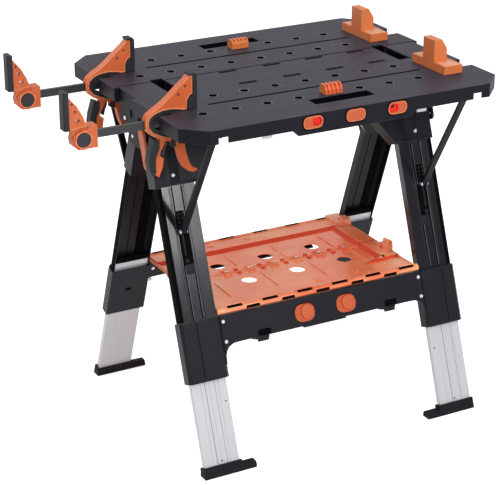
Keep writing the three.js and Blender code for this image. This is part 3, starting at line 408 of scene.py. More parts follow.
metals = {
    "leg": dict(colour=shade(21, 21, 28), deep=shade(17, 17, 23), pale=shade(84, 84, 94), rough=0.2, fine=900.0,
                bump=0.06, round=0.0012, mottle=10.0, wearAndSheen=0.5, metal=0.0, shine=0.5),
    "strut": dict(colour=shade(26, 23, 28), deep=shade(20, 18, 22), pale=shade(92, 90, 98), rough=0.34, fine=900.0,
                  bump=0.06, round=0.0012, mottle=18.0, wearAndSheen=0.6, metal=0.0, shine=0.07),
    "extension": dict(colour=shade(204, 203, 208), deep=shade(190, 189, 195), pale=shade(230, 230, 236), rough=0.44,
                      fine=600.0, bump=0.1, round=0.0006, mottle=6.0, wearAndSheen=0.5, metal=0.35, shine=0.4),
    "bar": dict(colour=shade(54, 54, 58), deep=shade(44, 44, 48), pale=shade(96, 96, 102), rough=0.4, fine=900.0,
                bump=0.08, round=0.0008, mottle=20.0, wearAndSheen=0.6, metal=0.3, shine=0.4),
    "lineGrey": dict(colour=shade(132, 132, 140), deep=shade(118, 118, 126), pale=shade(170, 170, 178), rough=0.4,
                     fine=1200.0, bump=0.05, round=0.0004, mottle=20.0, wearAndSheen=0.4, metal=0.3, shine=0.4),
    "steel": dict(colour=shade(222, 222, 226), deep=shade(196, 196, 202), pale=shade(244, 244, 248), rough=0.3,
                  fine=1200.0, bump=0.05, round=0.0005, mottle=30.0, wearAndSheen=0.4, metal=0.9, shine=0.5),
}
looks = {name: moulded(name, {"vary": 0.05, **look}) for name, look in plastics.items()}
looks.update({name: drawnMetal(name, look) for name, look in metals.items()})
# rear legs: a copy of the leg metal with less shine and more roughness, a shaded copy that paints them darker than the
# front legs
rearLegsShaded = dict(colour=shade(27, 25, 31), deep=shade(20, 19, 24), rough=0.42, shine=0.14)
rearLooks = {"leg": drawnMetal("legRearShaded", {**metals["leg"], **rearLegsShaded}, "rear"),
             "extension": drawnMetal("extensionRear", metals["extension"], "rear")}
ownLooks = {"clamp_jaw_front": "jaw", "clamp_jaw_rear": "jaw", "dog_": "dog", "latch_knob": "dog", "release_lever_right": "frame"}
for entry in frame["record"]["subparts"]:
    slot, name = entry["material_slot"], entry["node"]
    look = rearLooks.get(slot, looks[slot]) if "_rear" in name else looks[slot]
    for start, own in ownLooks.items():
        look = looks[own] if name.startswith(start) else look
    if not nodes[name].material_slots:
        nodes[name].data.materials.append(look)
    for place in nodes[name].material_slots:
        place.material = look


# ---- small shapes and the places they sit on ----
# rounded plate: a rectangle with quarter-circle corners in (u, v), lifted from low to high with a rolled rim
def plate(centre, size, corner, low, high, soft=0.6, per=5):
    corner = min(corner, size[0] / 2 - 0.01, size[1] / 2 - 0.01)
    soft = min(soft, corner * 0.9, (high - low) * 0.9)
    turn = np.linspace(0, math.pi / 2, per)[None] + np.arange(4)[:, None] * math.pi / 2
    corners = np.array([[1, 1], [-1, 1], [-1, -1], [1, -1]]) * (np.array(size) / 2 - corner)
    rolled = np.linspace(0, math.pi / 2, 4)
    shrink = np.concatenate([[0], soft * (1 - np.cos(rolled))])
    height = np.concatenate([[low], high - soft + soft * np.sin(rolled)])
    reach = (corner - shrink)[:, None, None, None] * np.stack([np.cos(turn), np.sin(turn)], -1)[None]
    flat = (corners[None, :, None] + reach).reshape(len(shrink), -1, 2) + np.array(centre)
    return stack(np.concatenate([flat, np.repeat(height[:, None], flat.shape[1], 1)[..., None]], -1))


# round head: a profile of (radius, height) turned about the w axis through (u, v)
def knobHead(centre, profile, sides=24):
    return stack(turnedShape(profile, (*centre, 0.0), (0, 0, 1), sides))


# ring: a small rounded section carried round a rounded rectangle in (u, v), between two heights
def rimRing(centre, size, corner, wide, low, high, per=5):
    turn = (np.linspace(0, math.pi / 2, per)[None] + np.arange(4)[:, None] * math.pi / 2)
    corners = np.array([[1, 1], [-1, 1], [-1, -1], [1, -1]]) * (np.array(size) / 2 - corner)
    path = (corners[:, None] + corner * np.stack([np.cos(turn), np.sin(turn)], -1)).reshape(-1, 2) + np.array(centre)
    path = np.concatenate([path, np.zeros((len(path), 1))], 1)
    section = [(0, low), (wide, low), (wide, high - wide * 0.3), (wide * 0.7, high), (wide * 0.3, high), (0, high - wide * 0.3)]
    return carried(path, section, (0, 0, 1))


# seats turn (u, v, w) into bench millimetres: top faces up, skirt faces out, leg faces along the leaning leg
def onTop(end):
    return endSeat(end)


def onSkirt(end):
    return lambda p: endSeat(end)(np.stack([p[:, 0], -p[:, 2], p[:, 1]], -1))


def onLeg(end):
    return lambda p: legSeat(end)(np.stack([p[:, 0], p[:, 2], p[:, 1]], -1))


# the clamps both stand at the left, so the rear one is the front one moved straight back
def onClamp(end):
    return lambda p: np.stack([p[:, 0], p[:, 2] + (152.4 if end == "rear" else -152.4), p[:, 1]], -1)


ends, sides = ("front", "rear"), (-1, 1)
boltHead = [(4.6, 0), (4.6, 1.2), (4.0, 2.2), (2.6, 2.8), (2.2, 2.4), (1.2, 2.0)]

# ---- top: collars in the dog holes, black as painted shade, with grey lips whose pale edges are painted glints; black rings and red pockets of the edge inserts, painted shade ----
collar = dict(radius=9.95, wall=0.6, depth=26.0, rim=1.3, lip=0.5, grid=(76.2, 101.6), top=805.0)
for end in ends:
    pile, rims = Pile(), Pile()
    r, t = collar["radius"], collar["top"]
    section = [(r, t - collar["depth"]), (r, t - 0.1), (r - collar["wall"], t - 0.1), (r - collar["wall"], t - collar["depth"])]
    lip = [(r - 0.5, t - 0.9), (r + collar["rim"], t - 0.1), (r + collar["rim"], t + 0.15),
           (r + collar["rim"] * 0.5, t + collar["lip"]), (r, t + collar["lip"] * 0.8), (r - 0.5, t - 0.1)]
    for row in (1, 2):
        for step in range(-4, 5):
            if (row, step) != (2, 0):
                at = (step * collar["grid"][0], -row * collar["grid"][1], 0)
                pile.add(hoop(turnedShape(section, at, (0, 0, 1), 28).swapaxes(0, 1)), onTop(end))
                rims.add(hoop(turnedShape(lip, at, (0, 0, 1), 28).swapaxes(0, 1)), onTop(end))
    pile.piece("hole_shade_linings_" + end, looks["paintedShadeBlack"], "wing_" + end, "trim")
    rims.piece("hole_glint_rims_" + end, looks["holeLipGlint"], "wing_" + end, "top")

# dark floors and strips, painted shade: under and along the long grooves, under the wings' share of the two hand slots,
# in the rear seams and in the recess
under = dict(groove=(534.0, 5.4), grooveAt=152.4, grooveFloor=801.5, slotAt=286.0, slotFloor=774.2,
             seamAt=51.0, seams=[(-384, -306), (-266, 266), (306, 384)],
             fingers=(-117, -6, 105, 216), finger=(44.0, 10.0), fingerAt=dict(front=-53.3, rear=40.8), fingerTop=805.12,
             recess=(-67, 80, -261, -225), recessFloor=787.0, tabs=(-200, 181))
for end in ends:
    pile = Pile()
    pile.add(plate((0, -under["grooveAt"]), (under["groove"][0] - 1, under["groove"][1]), 2.4, under["grooveFloor"] - 0.5,
                   under["grooveFloor"] + 0.6, 0.2), onTop(end))
    for side in sides:
        x, low = side * under["slotAt"], under["slotFloor"]
        pile.add(plate((x, -57.5), (36, 19), 1, low, low + 1.4, 0.3), onTop(end))
        pile.add(plate((x, -66.6), (36, 1.6), 0.7, low, 800.4, 0.3), onTop(end))
        for way in sides:
            pile.add(plate((x + way * 17.3, -57.5), (1.6, 19), 0.7, low, 800.4, 0.3), onTop(end))
    pile.add(plate((0, -under["grooveAt"]), (under["groove"][0], 8.0), 2.4, 804.0, 805.12, 0.1), onTop(end))
    for low, high in under["seams"] if end == "rear" else ():
        pile.add(plate(((low + high) / 2, -under["seamAt"]), (high - low, 4.0), 1.2, 804.0, 805.12, 0.1), onTop(end))
    left, right, near, far = under["recess"]
    low = under["recessFloor"]
    pile.add(plate(((left + right) / 2, (near + far) / 2), (right - left - 0.6, far - near - 0.6), 1, low - 0.4, low + 0.8, 0.2), onTop(end))
    for y in (near + 0.7, far - 0.7):
        pile.add(plate(((left + right) / 2, y), (right - left - 0.6, 1.6), 0.7, low, 804.3, 0.3), onTop(end))
    for x in (left + 0.7, right - 0.7):
        pile.add(plate((x, (near + far) / 2), (1.6, far - near - 0.6), 0.7, low, 804.3, 0.3), onTop(end))
    pile.piece("slot_floors_" + end, looks["paintedShadeBlack"], "wing_" + end, "top")
    fingers = Pile()
    for x in under["fingers"]:
        fingers.add(plate((x, under["fingerAt"][end]), under["finger"], 1.6, 803.8, under["fingerTop"], 0.1))
    fingers.piece("finger_shade_floors_" + end, looks["paintedShadeBlack"], "wing_front" if end == "front" else "beam", "top")
    tabs = Pile()
    for x in under["tabs"]:
        tabs.add(plate((x, 766.5), (24, 15), 2, 288.5, 291.0, 0.8), onSkirt(end))
    tabs.piece("skirt_tabs_" + end, looks["extension"], "wing_" + end, "steel")

# latch knob: red plates and fins in the cuts between its ridges, painted shade in the cuts
fin = dict(first=-13.5, pitch=10.0, wide=5.0, count=4, y=-203.2, floor=821.3, front=216.7, slopeFoot=816.3, slope=math.atan2(8, 11))


# the knob's sloping front: v up the slope from its foot, w out of it
def onSlope(end):
    c, d = math.cos(fin["slope"]), math.sin(fin["slope"])
    return lambda p: endSeat(end)(np.stack([
        p[:, 0], -fin["front"] + d * p[:, 1] - c * p[:, 2], fin["slopeFoot"] + c * p[:, 1] + d * p[:, 2]], -1))


for end in ends:
    pile = Pile()
    for step in range(fin["count"]):
        x = fin["first"] + step * fin["pitch"] + fin["wide"] / 2
        pile.add(plate((x, fin["y"] - 5.2), (4.6, 8.6), 0.8, fin["floor"] - 0.5, fin["floor"] + 0.7, 0.3), onTop(end))
        pile.add(plate((x, fin["y"] - 4.5), (1.5, 8), 0.7, fin["floor"] - 0.5, fin["floor"] + 4.0, 0.5), onTop(end))
        pile.add(plate((x, 811.6), (3.2, 9.4), 0.8, fin["front"] - 0.5, fin["front"] + 0.25, 0.2), onSkirt(end))
        pile.add(plate((x, 3.1), (3.2, 6.6), 0.8, -0.5, 0.25, 0.2), onSlope(end))
    pile.piece("knob_cut_shade_" + end, looks["paintedShadeRed"], "latch_knob_" + end, "accent")

insert = dict(pitch=104.0, size=(47.0, 27.0), corner=11.0, high=786.2, face=312.0, proud=1.2, ring=3.1, rim=1.5)
for end in ends:
    rings, pockets, studs, rims = Pile(), Pile(), Pile(), Pile()
    for place in (-1, 0, 1):
        outFace = insert["face"] + insert["proud"]
        rims.add(rimRing((place * insert["pitch"], insert["high"]), (insert["size"][0] - 0.6, insert["size"][1] - 0.6),
                         insert["corner"] - 0.3, insert["rim"], outFace - 0.4, outFace + 0.35), onSkirt(end))
        rings.add(rimRing((place * insert["pitch"], insert["high"]), (insert["size"][0] + 6.6, insert["size"][1] + 6.6),
                          insert["corner"] + 3.3, insert["ring"], insert["face"] - 0.6, insert["face"] + 0.7), onSkirt(end))
    for place in sides:
        x = place * (insert["pitch"] - insert["size"][0] * 0.2)
        floorAt = insert["face"] + insert["proud"] - 2.6
        pockets.add(plate((x, insert["high"] + 1), (19.2, 16.2), 5.6, floorAt - 0.6, floorAt + 0.5, 0.3), onSkirt(end))
        pockets.add(rimRing((x, insert["high"] + 0.6), (23.0, 20.0), 7.0, 2.2, outFace - 0.4, outFace + 0.2), onSkirt(end))
        pockets.add(knobHead((x + 2 * place, insert["high"] + 1), [(5.6, floorAt), (5.6, floorAt + 1.2), (4.4, floorAt + 2.0), (2.0, floorAt + 2.1)]), onSkirt(end))
    studs.add(plate((90.5, insert["high"] + 6.0), (8.5, 7.5), 1.2, floorAt + 0.3, floorAt + 2.5, 0.3), onSkirt(end))
    # the insert rims in paler orange, a painted highlight
    rims.piece("insert_lit_rims_" + end, looks["rim"], "wing_" + end, "accent")
    rings.piece("insert_ring_shade_" + end, looks["paintedShadeBlack"], "wing_" + end, "trim")
    pockets.piece("insert_pocket_shade_" + end, looks["paintedShadeRed"], "wing_" + end, "accent")
    studs.piece("insert_stud_" + end, looks["collar"], "wing_" + end, "trim")
# ends of the beam: a square pocket painted dark as shade, and a bolt on each
beamEnd = dict(face=380.0, pocket=(-12.0, 762.0), size=(13.0, 17.0), bolt=(20.0, 744.0))
pockets, studs = Pile(), Pile()
for end in ends:
    facing = lambda p, end=end: endSeat(end)(np.stack([-p[:, 2], p[:, 0], p[:, 1]], -1))
    pockets.add(plate(beamEnd["pocket"], beamEnd["size"], 1.5, beamEnd["face"] - 0.4, beamEnd["face"] + 0.2, 0.15), facing)
    studs.add(knobHead(beamEnd["bolt"], [(r, beamEnd["face"] + h - 0.3) for r, h in boltHead]), facing)
pockets.piece("beam_pocket_shade", looks["paintedShadeBlack"], "beam", "trim")
studs.piece("beam_bolts", looks["steel"], "beam", "steel")
print("top details made")

# ---- clamps: black throat liner in two cheeks beside the bar, covered trigger arm ----
throat = dict(face=-307.0, top=805.0, wide=9.0, cheek=(4.9, 8.7),
              line=[(-50, -57), (-62, -53), (-76, -47), (-92, -39), (-101, -27), (-102, -17), (-99, -8), (-89, 0),
                    (-71, 5), (-52, 6), (-34, 3.5), (-24, 1.2)])


# band beside a path: at each of its points a four-cornered section from the path inwards
def band(line, wide, low, high, taper):
    line = np.array(line, float)
    spread = np.concatenate([[0], np.cumsum(np.linalg.norm(np.diff(line, axis=0), axis=1))])
    at = np.linspace(0, spread[-1], 46)
    line = np.stack([np.interp(at, spread, line[:, k]) for k in (0, 1)], -1)
    for _ in range(3):
        line[1:-1] = (line[:-2] + 2 * line[1:-1] + line[2:]) / 4
    ahead = np.gradient(line, axis=0)
    ahead /= np.linalg.norm(ahead, axis=1)[:, None]
    inward = np.stack([ahead[:, 1], -ahead[:, 0]], -1)
    width = wide * np.clip(np.minimum(at, spread[-1] - at) / taper, 0.12, 1)[:, None]
    near, far = line + inward * 0.15, line + inward * width
    ring = [np.c_[near, np.full(len(at), low)], np.c_[near, np.full(len(at), high)],
            np.c_[far, np.full(len(at), high - 0.8)], np.c_[far, np.full(len(at), low)]]
    return stack(np.stack(ring, 1))


for end in ends:
    pile = Pile()
    path = np.array(throat["line"], float) + (throat["face"], throat["top"])
    low, high = throat["cheek"]
    for way in sides:
        pile.add(band(path, throat["wide"], low, high, 26.0), lambda p, way=way: onClamp(end)(p * (1, 1, way)))
    pile.piece("clamp_liner_" + end, looks["grip"], "clamp_" + end, "grip")
    cover = Pile()
    for way in sides:
        cover.add(plate((throat["face"] - 44, throat["top"] - 71.5), (15, 14), 5, 4.4, 7.4, 1.2), lambda p, way=way: onClamp(end)(p * (1, 1, way)))
    cover.piece("clamp_trigger_cover_" + end, looks["grip"], "clamp_trigger_" + end, "grip")

# raised rims: a low rounded section carried round the outline of the frame and of the jaw's arm, on both faces, in
# paler orange as a painted highlight
rimLine = dict(
    frame=[(-8, 72), (-18, 62), (-37, 47), (-54, 32), (-72, 18), (-92, 7), (-105, -3), (-109.5, -16), (-108, -30),
           (-96, -45), (-79, -54), (-62, -61), (-62, -53), (-76, -47), (-92, -39), (-101, -27), (-102, -17), (-99, -8),
           (-89, 0), (-71, 5), (-52, 6), (-34, 3.5), (-24, 0.6), (-13.4, 0.6), (-12.6, 20), (-7, 30), (0, 33), (0, 72)],
    jaw=[(0, 61), (0, -3), (10, -6), (24, -2), (38, -1), (32, 21), (20, 43), (5, 61)],
    wide=2.6, proud=1.1, frameFace=8.5, jawFace=8.0, jawAt=-586.0)


def flatRim(line, face):
    path = np.c_[np.array(line, float), np.zeros(len(line))]
    w, h = rimLine["wide"], rimLine["proud"]
    section = [(0.1, face - 0.4), (w, face - 0.4), (w, face + h * 0.5), (w * 0.7, face + h), (w * 0.3, face + h), (0.1, face + h * 0.5)]
    return carried(path, section, (0, 0, 1))


boss = dict(at=(-557.0, 778.0), radius=19.2, inner=15.6, teeth=0.5, face=14.0, proud=2.2)
for end in ends:
    frameRims, jawRims = Pile(), Pile()
    for way in sides:
        turned = lambda p, way=way: onClamp(end)(p * (1, 1, way))
        frameRims.add(flatRim(np.array(rimLine["frame"]) + (throat["face"], throat["top"]), rimLine["frameFace"]), turned)
        jawRims.add(flatRim(np.array(rimLine["jaw"]) + (rimLine["jawAt"], throat["top"]), rimLine["jawFace"]), turned)
    angle = np.linspace(0, 2 * math.pi, 72, endpoint=False)
    grow = 1 + 0.03 * np.sign(np.sin(6 * angle))
    rings = []
    for r, h in ((boss["inner"], -0.5), (boss["radius"], -0.5), (boss["radius"], 1.4), (boss["radius"] - 0.8, 2.2), (boss["inner"] + 0.8, 2.2), (boss["inner"], 1.6)):
        spread = r * (grow if r > boss["inner"] + 1 else np.ones_like(angle))
        rings.append(np.stack([boss["at"][0] + spread * np.cos(angle), boss["at"][1] + spread * np.sin(angle), np.full_like(angle, -boss["face"] - h)], -1))
    jawRims.add(hoop(np.stack(rings, 1)), onClamp(end))
    gap = [(boss["radius"] * 1.04, boss["face"] - 0.4), (boss["radius"] * 1.04 + 1.4, boss["face"] - 0.4),
           (boss["radius"] * 1.04 + 1.4, boss["face"] + 0.15), (boss["radius"] * 1.04, boss["face"] + 0.15)]
    gaps = Pile()
    around = turnedShape([(r, -h) for r, h in gap], (*boss["at"], 0), (0, 0, 1), 48)
    gaps.add(hoop(around.swapaxes(0, 1)), onClamp(end))
    # a red-orange ring round the boss, painted shade in the gap
    gaps.piece("jaw_gap_shade_" + end, looks["paintedShadeOrange"], "clamp_slide_" + end, "clamp")
    frameRims.piece("clamp_lit_rims_" + end, looks["rim"], "clamp_" + end, "clamp")
    jawRims.piece("jaw_lit_rims_" + end, looks["rim"], "clamp_slide_" + end, "clamp")
print("clamp details made")

# ---- dogs: paler patches on the tops of the bases, painted light on the upward faces ----
dogLitPatch = dict(at=304.8, base=824.0, side=43.5, size=(40.0, 36.0), rib=1.6)
for end in ends:
    pile = Pile()
    y0 = 152.4 if end == "rear" else -152.4
    for way in sides:
        pile.add(plate((dogLitPatch["at"] + 8, y0 + way * dogLitPatch["side"]), dogLitPatch["size"], 2.5, dogLitPatch["base"] - 0.4, dogLitPatch["base"] + 0.5, 0.4))
    pile.piece("dog_lit_patches_" + end, looks["litPatchPale"], "dog_" + end, "accent")

# ---- leg frames: bolts, ratchet blocks, ribs and lips of the sockets; slot floors, lines and webs painted dark as shade; pale lines beside the grooves, painted highlights ----
legFace = dict(channel=24.5, socket=28.0, sleeve=34.5, bar=32.75)
for end in ends:
    bolts, blocks, slots, ribs, inside, glints = (Pile() for _ in range(6))
    for side in sides:
        place = onLeg(end)
        raised = lambda base: [(r, base + h - 0.3) for r, h in boltHead]
        bolts.add(knobHead((side * 313.5, -83), raised(legFace["socket"])), place)
        bolts.add(knobHead((side * 256, -418), raised(legFace["bar"])), place)
        bolts.add(knobHead((side * 256, -463), raised(legFace["bar"])), place)
        face = legFace["channel"]
        slots.add(plate((side * 312, -184), (20.5, 44), 1.5, face - 0.4, face + 1.6, 0.5), place)
        for step in range(8):
            spot = (side * (312 + (5 if step % 2 else -5)), -168 - 9 * (step // 2))
            blocks.add(knobHead(spot, [(3.6, face + 1.4), (3.6, face + 2.6), (2.6, face + 3.4), (1.0, face + 3.5)], 14), place)
        blocks.add(plate((side * 313, -236), (5, 50), 2, face - 1.4, face + 0.5, 0.5), place)
        ribs.add(plate((side * 307, -291), (21, 22), 2, face - 0.3, face + 1.4, 0.5), place)
        slots.add(plate((side * 309.5, -245), (21.5, 76), 2, face - 0.4, face + 0.2, 0.15), place)
        for x in (298, 321):
            slots.add(plate((side * x, -255.5), (3.2, 296), 0.8, face - 0.4, face + 0.16, 0.1), place)
            shine = side * x + (2.2 if end == "front" else -2.2)
            glints.add(plate((shine, -255.5), (0.9, 292), 0.3, face - 0.4, face + 0.14, 0.1), place)
        slots.add(plate((side * 321, -471), (1.6, 126), 0.7, legFace["sleeve"] - 0.4, legFace["sleeve"] + 0.12, 0.1), place)
        for x in (298, 321):
            inside.add(plate((side * x, -245), (2.2, 270), 0.9, 22.3, 22.7, 0.1), place)
        inside.add(plate((side * 310 - 21, -245), (24, 270), 2, 22.3, 22.65, 0.1), place)
        slots.add(plate((side * 311.5, -468), (15, 9), 4, 3.7, 4.3, 0.15), place)
        for x, along in ((249.5, -423), (251.5, -459)):
            bolts.add(knobHead((side * x, along), [(r, 10.75 - h + 0.3) for r, h in boltHead]), place)
        hook = -159.5 if side < 0 else 172.0
        slots.add(plate((hook, -461), (34, 15), 7, legFace["bar"] - 0.4, legFace["bar"] + 0.3, 0.2), place)
        outer = lambda p, side=side: legSeat(end)(np.stack([side * p[:, 2], p[:, 0], p[:, 1]], -1))
        slots.add(plate((15.5, -255), (17.6, 297), 2, 354.6, 355.3, 0.2), outer)
        blocks.add(knobHead((side * 312, -272), [(5.2, 23.2), (5.2, 26.0), (4.2, 26.9), (3.0, 27.0), (2.6, 26.2), (1.2, 26.0)]), place)
        slots.add(plate((side * 313, -230), (12.4, 135), 5, legFace["channel"] - 1.6, legFace["channel"] - 0.9, 0.2), place)
        slots.add(plate((side * 349.7, -255), (10.2, 297), 2, legFace["channel"] - 0.4, legFace["channel"] + 0.25, 0.2), place)
        blocks.add(plate((side * 309.5, -52), (17.5, 94), 2, legFace["socket"] - 0.3, legFace["socket"] + 0.25, 0.2), place)
        for x in (299, 320):
            ribs.add(plate((side * x, -52), (2.6, 98), 1.2, legFace["socket"] - 0.3, legFace["socket"] + 0.9, 0.6), place)
        ribs.add(plate((side * 308.5, -102.6), (97, 5.6), 1.6, legFace["socket"] - 0.3, legFace["socket"] + 1.3, 0.8), place)
    bolts.piece("leg_bolts_" + end, looks["steel"], "legs_" + end, "steel")
    blocks.piece("leg_ratchets_" + end, looks["collar"], "legs_" + end, "trim")
    slots.piece("leg_slot_floors_" + end, looks["paintedShadeBlack"], "legs_" + end, "trim")
    inside.piece("leg_inner_shade_" + end, looks["paintedShadeBlack"], "legs_" + end, "leg")
    glints.piece("leg_glints_" + end, looks["lineGrey"], "legs_" + end, "leg")
    ribs.piece("socket_ribs_" + end, looks["frame"], "legs_" + end, "frame")

# pin heads at the struts' feet, one on each side of the eye
strutPin = dict(x=313.0, half=7.5, out=31.2, along=-207.0)
for end in ends:
    for side, name in ((-1, "left"), (1, "right")):
        pile = Pile()
        heart = legSeat("front")(np.array([[0.0, strutPin["out"], strutPin["along"]]]))[0]
        for way in sides:
            profile = [(r * 1.25, strutPin["half"] + h * 0.9 - 0.4) for r, h in boltHead]
            head = turnedShape(profile, (side * strutPin["x"], heart[1], heart[2]), (way, 0, 0), 20)
            pile.add(stack(head), endSeat(end))
        rider = name if end == "front" else {"left": "right", "right": "left"}[name]
        pile.piece("strut_pins_" + end + "_" + rider, looks["steel"], "strut_" + end + "_" + rider, "steel")

# drawing seams on the front of each extension; latch holes and a block across the channel, painted dark as shade
drawn = dict(face=22.1, span=(-541, -726), left=((320.0, 1.7), (296.0, 1.1)), right=((304.0, 1.7), (328.0, 1.1)),
             holes=((276.0, -592), (309.5, -719)), plug=(-380.0, 16.0))
for end in ends:
    for side, name in ((-1, "left"), (1, "right")):
        seams, holes = Pile(), Pile()
        low, high = drawn["face"] - 0.4, drawn["face"] + 0.1
        for x, wide in drawn[name]:
            middle, long = sum(drawn["span"]) / 2, drawn["span"][0] - drawn["span"][1]
            seams.add(plate((side * x, middle), (wide, long), 0.5, low, high, 0.1), onLeg(end))
        holes.add(plate((side * 310, drawn["plug"][0]), (78, drawn["plug"][1]), 2, 11.0, 21.6, 1.0), onLeg(end))
        for x, along in drawn["holes"]:
            holes.add(knobHead((side * x, along), [(1.9, low), (1.9, high), (1.0, high + 0.05)], 16), onLeg(end))
        rider = name if end == "front" else {"left": "right", "right": "left"}[name]
        seams.piece("extension_seams_" + end + "_" + rider, looks["lineGrey"], "extension_" + end + "_" + rider, "extension")
        holes.piece("extension_hole_shade_" + end + "_" + rider, looks["paintedShadeBlack"], "extension_" + end + "_" + rider, "trim")

# ---- crossbar caps: a round thumb knob on each, with a red ring round it, painted shade in its groove ----
cap = dict(at=53.5, along=-437.0, face=36.75, knob=6.0, radius=17.0)
for end in ends:
    for side, name in ((-1, "left"), (1, "right")):
        pile = Pile()
        f, r = cap["face"], cap["radius"]
        dome = [(r, f - 0.4), (r, f + 1.6), (r - 0.8, f + 2.6), (r - 2.6, f + 2.9), (r - 3.4, f + 2.2), (r - 6, f + 2.4), (r - 10, f + 2.7), (2.0, f + 2.8)]
        pile.add(knobHead((side * cap["at"] + cap["knob"], cap["along"]), dome, 40), onLeg(end))
        rider = name if end == "front" else {"left": "right", "right": "left"}[name]
        pile.piece("cap_knob_" + end + "_" + rider, looks["knob"], "crossbar_cap_" + end + "_" + rider, "accent")
        seam = Pile()
        ring = [(r + 0.2, f - 0.3), (r + 1.3, f - 0.3), (r + 1.3, f + 0.3), (r + 0.2, f + 0.3)]
        seam.add(hoop(turnedShape(ring, (side * cap["at"] + cap["knob"], cap["along"], 0), (0, 0, 1), 40).swapaxes(0, 1)), onLeg(end))
        seam.piece("cap_groove_shade_" + end + "_" + rider, looks["paintedShadeRed"], "crossbar_cap_" + end + "_" + rider, "accent")
print("leg details made")

# ---- tray: ribs, studs, hinge clips, raised strip and end plate; dark slots along the front, and red walls and plates beside the clips, painted shade ----
trayTop = 334.5
trayRibs = dict(rear=[(-100, 32, 94), (27, 12, 103), (157, 18, 103)],
                front=[(-195, -39, -117), (-71, -27, -116), (57, -23, -114), (181, -18, -87)])
trayStuds = dict(rear=[(-108, 154), (-6, 154)], front=[(181, -131), (124, -130), (23, -131)])
traySlots = dict(axis=(-175.8, 334.5), radius=8.8, tilt=math.radians(62), gapTurns=(0.3, 0.04, -0.22),
                 spans=[(-238, -201), (-149, -111), (-60, -22), (31, 71), (121, 159), (211, 250)])
trayClips = [-145, -85, -22, 40, 102, 172]
trayShadePlates = [-115, -53, 9, 71, 137]
stud = [(8.0, 0), (8.0, 1.6), (7.2, 2.4), (5.4, 2.5), (4.8, 1.9), (2.0, 1.8)]
trayRaise = 6.0
# raised flats of the tray: four corners on the floor, then the four corners of the smaller top
trayFlats = dict(
    rear=[([(-262, 113), (262, 113), (262, 178), (-262, 178)], [(-262, 125), (262, 125), (262, 178), (-262, 178)]),
          ([(206, 2), (262, 2), (262, 118), (206, 118)], [(219, 2), (262, 2), (262, 118), (219, 118)])],
    front=[([(206, -104), (262, -104), (262, -2), (206, -2)], [(219, -100), (262, -100), (262, -2), (219, -2)]),
           ([(160, -108), (226, -108), (226, -78), (160, -103)], [(204, -102), (226, -102), (226, -88), (204, -98)])])


# beside the tray's edge barrel: w out from its axis, v up along the tangent, at a tilt above level
def onBarrel(end, tilt):
    y, z = traySlots["axis"]
    c, d = math.cos(tilt), math.sin(tilt)
    return lambda p: endSeat(end)(np.stack([p[:, 0], y - p[:, 2] * c + p[:, 1] * d, z + p[:, 2] * d + p[:, 1] * c], -1))


for end in ends:
    pile, dark, red = Pile(), Pile(), Pile()
    strip = trayRaise if end == "rear" else 0.0
    way = 1 if end == "rear" else -1
    for x, near, far in trayRibs[end]:
        pile.add(plate((x, (near + far) / 2), (3.0, abs(far - near)), 1.4, trayTop - 0.4, trayTop + 3.2, 0.8))
    for x, y in trayStuds[end]:
        pile.add(knobHead((x, y), [(r, trayTop + strip + h - 0.3) for r, h in stud]))
    for low, high in trayFlats[end]:
        rings = [np.c_[np.array(low, float), np.full(4, trayTop - 0.4)], np.c_[np.array(high, float), np.full(4, trayTop + trayRaise)]]
        # walls of the raised flats in red-orange, painted shade
        red.add(stack(np.stack(rings)))
        lid = [np.c_[np.array(high, float), np.full(4, trayTop + trayRaise + h)] for h in (-0.1, 0.3)]
        pile.add(stack(np.stack(lid)))
    radius, tilt = traySlots["radius"], traySlots["tilt"]
    for step, (low, high) in enumerate(traySlots["spans"]):
        middle, long = (low + high) / 2, high - low
        if end == "rear":
            dark.add(plate((-middle, 175.8), (long, 6.4), 1.5, trayTop + radius - 1.5, trayTop + radius + 0.35, 0.2))
            continue
        dark.add(plate((middle, 0), (long, 7.0), 1.5, radius - 2, radius + 0.35, 0.2), onBarrel(end, tilt))
        for edge in (-5.0, 4.6):
            pile.add(plate((middle, edge), (long + 10, 2.2), 1.0, radius - 4, radius + 0.9, 0.6), onBarrel(end, tilt))
        for tip in (low - 3, high + 3):
            pile.add(plate((tip, 0), (4.5, 11.5), 1.2, radius - 3, radius + 1.1, 0.6), onBarrel(end, tilt))
        if step < len(traySlots["spans"]) - 1:
            gap = (high + 9, traySlots["spans"][step + 1][0] - 9)
            for turn in traySlots["gapTurns"]:
                dark.add(plate(((gap[0] + gap[1]) / 2, 0), (gap[1] - gap[0], 2.5), 0.6, radius - 2, radius + 0.12, 0.1), onBarrel(end, turn))
    for x in trayClips:
        pile.add(rimRing((x, way * 12), (22, 13), 5, 2.4, trayTop - 0.3, trayTop + 2.4))
    # red-orange plates beside the clips, painted shade
    for x in trayShadePlates:
        red.add(plate((x, way * 9.5), (10, 9), 1.5, trayTop - 0.3, trayTop + 2.6, 0.5))
    if end == "rear":
        pile.add(plate((243.5, 147), (37, 62), 3, trayTop - 0.4, trayTop + 15, 1.2))
    if end == "front":
        for centre, size, top in (((253, -66), (19, 19), 21), ((248, -66), (7, 17), 35), ((259, -66), (6, 17), 29)):
            pile.add(plate(centre, size, 1.6, trayTop - 0.4, trayTop + top, 0.8))
        pins = Pile()
        for x in trayClips:
            pins.add(plate((x, -1.5), (11, 4.2), 1.8, trayTop + 5, trayTop + 7.0, 0.5))
        pins.piece("tray_pin_front", looks["steel"], "tray_front", "steel")
    pile.piece("tray_fittings_" + end, looks["tray"], "tray_" + end, "tray")
    dark.piece("tray_slot_shade_" + end, looks["paintedShadeBlack"], "tray_" + end, "trim")
    red.piece("tray_shaded_steps_" + end, looks["paintedShadeOrange"], "tray_" + end, "tray")
print("tray details made")

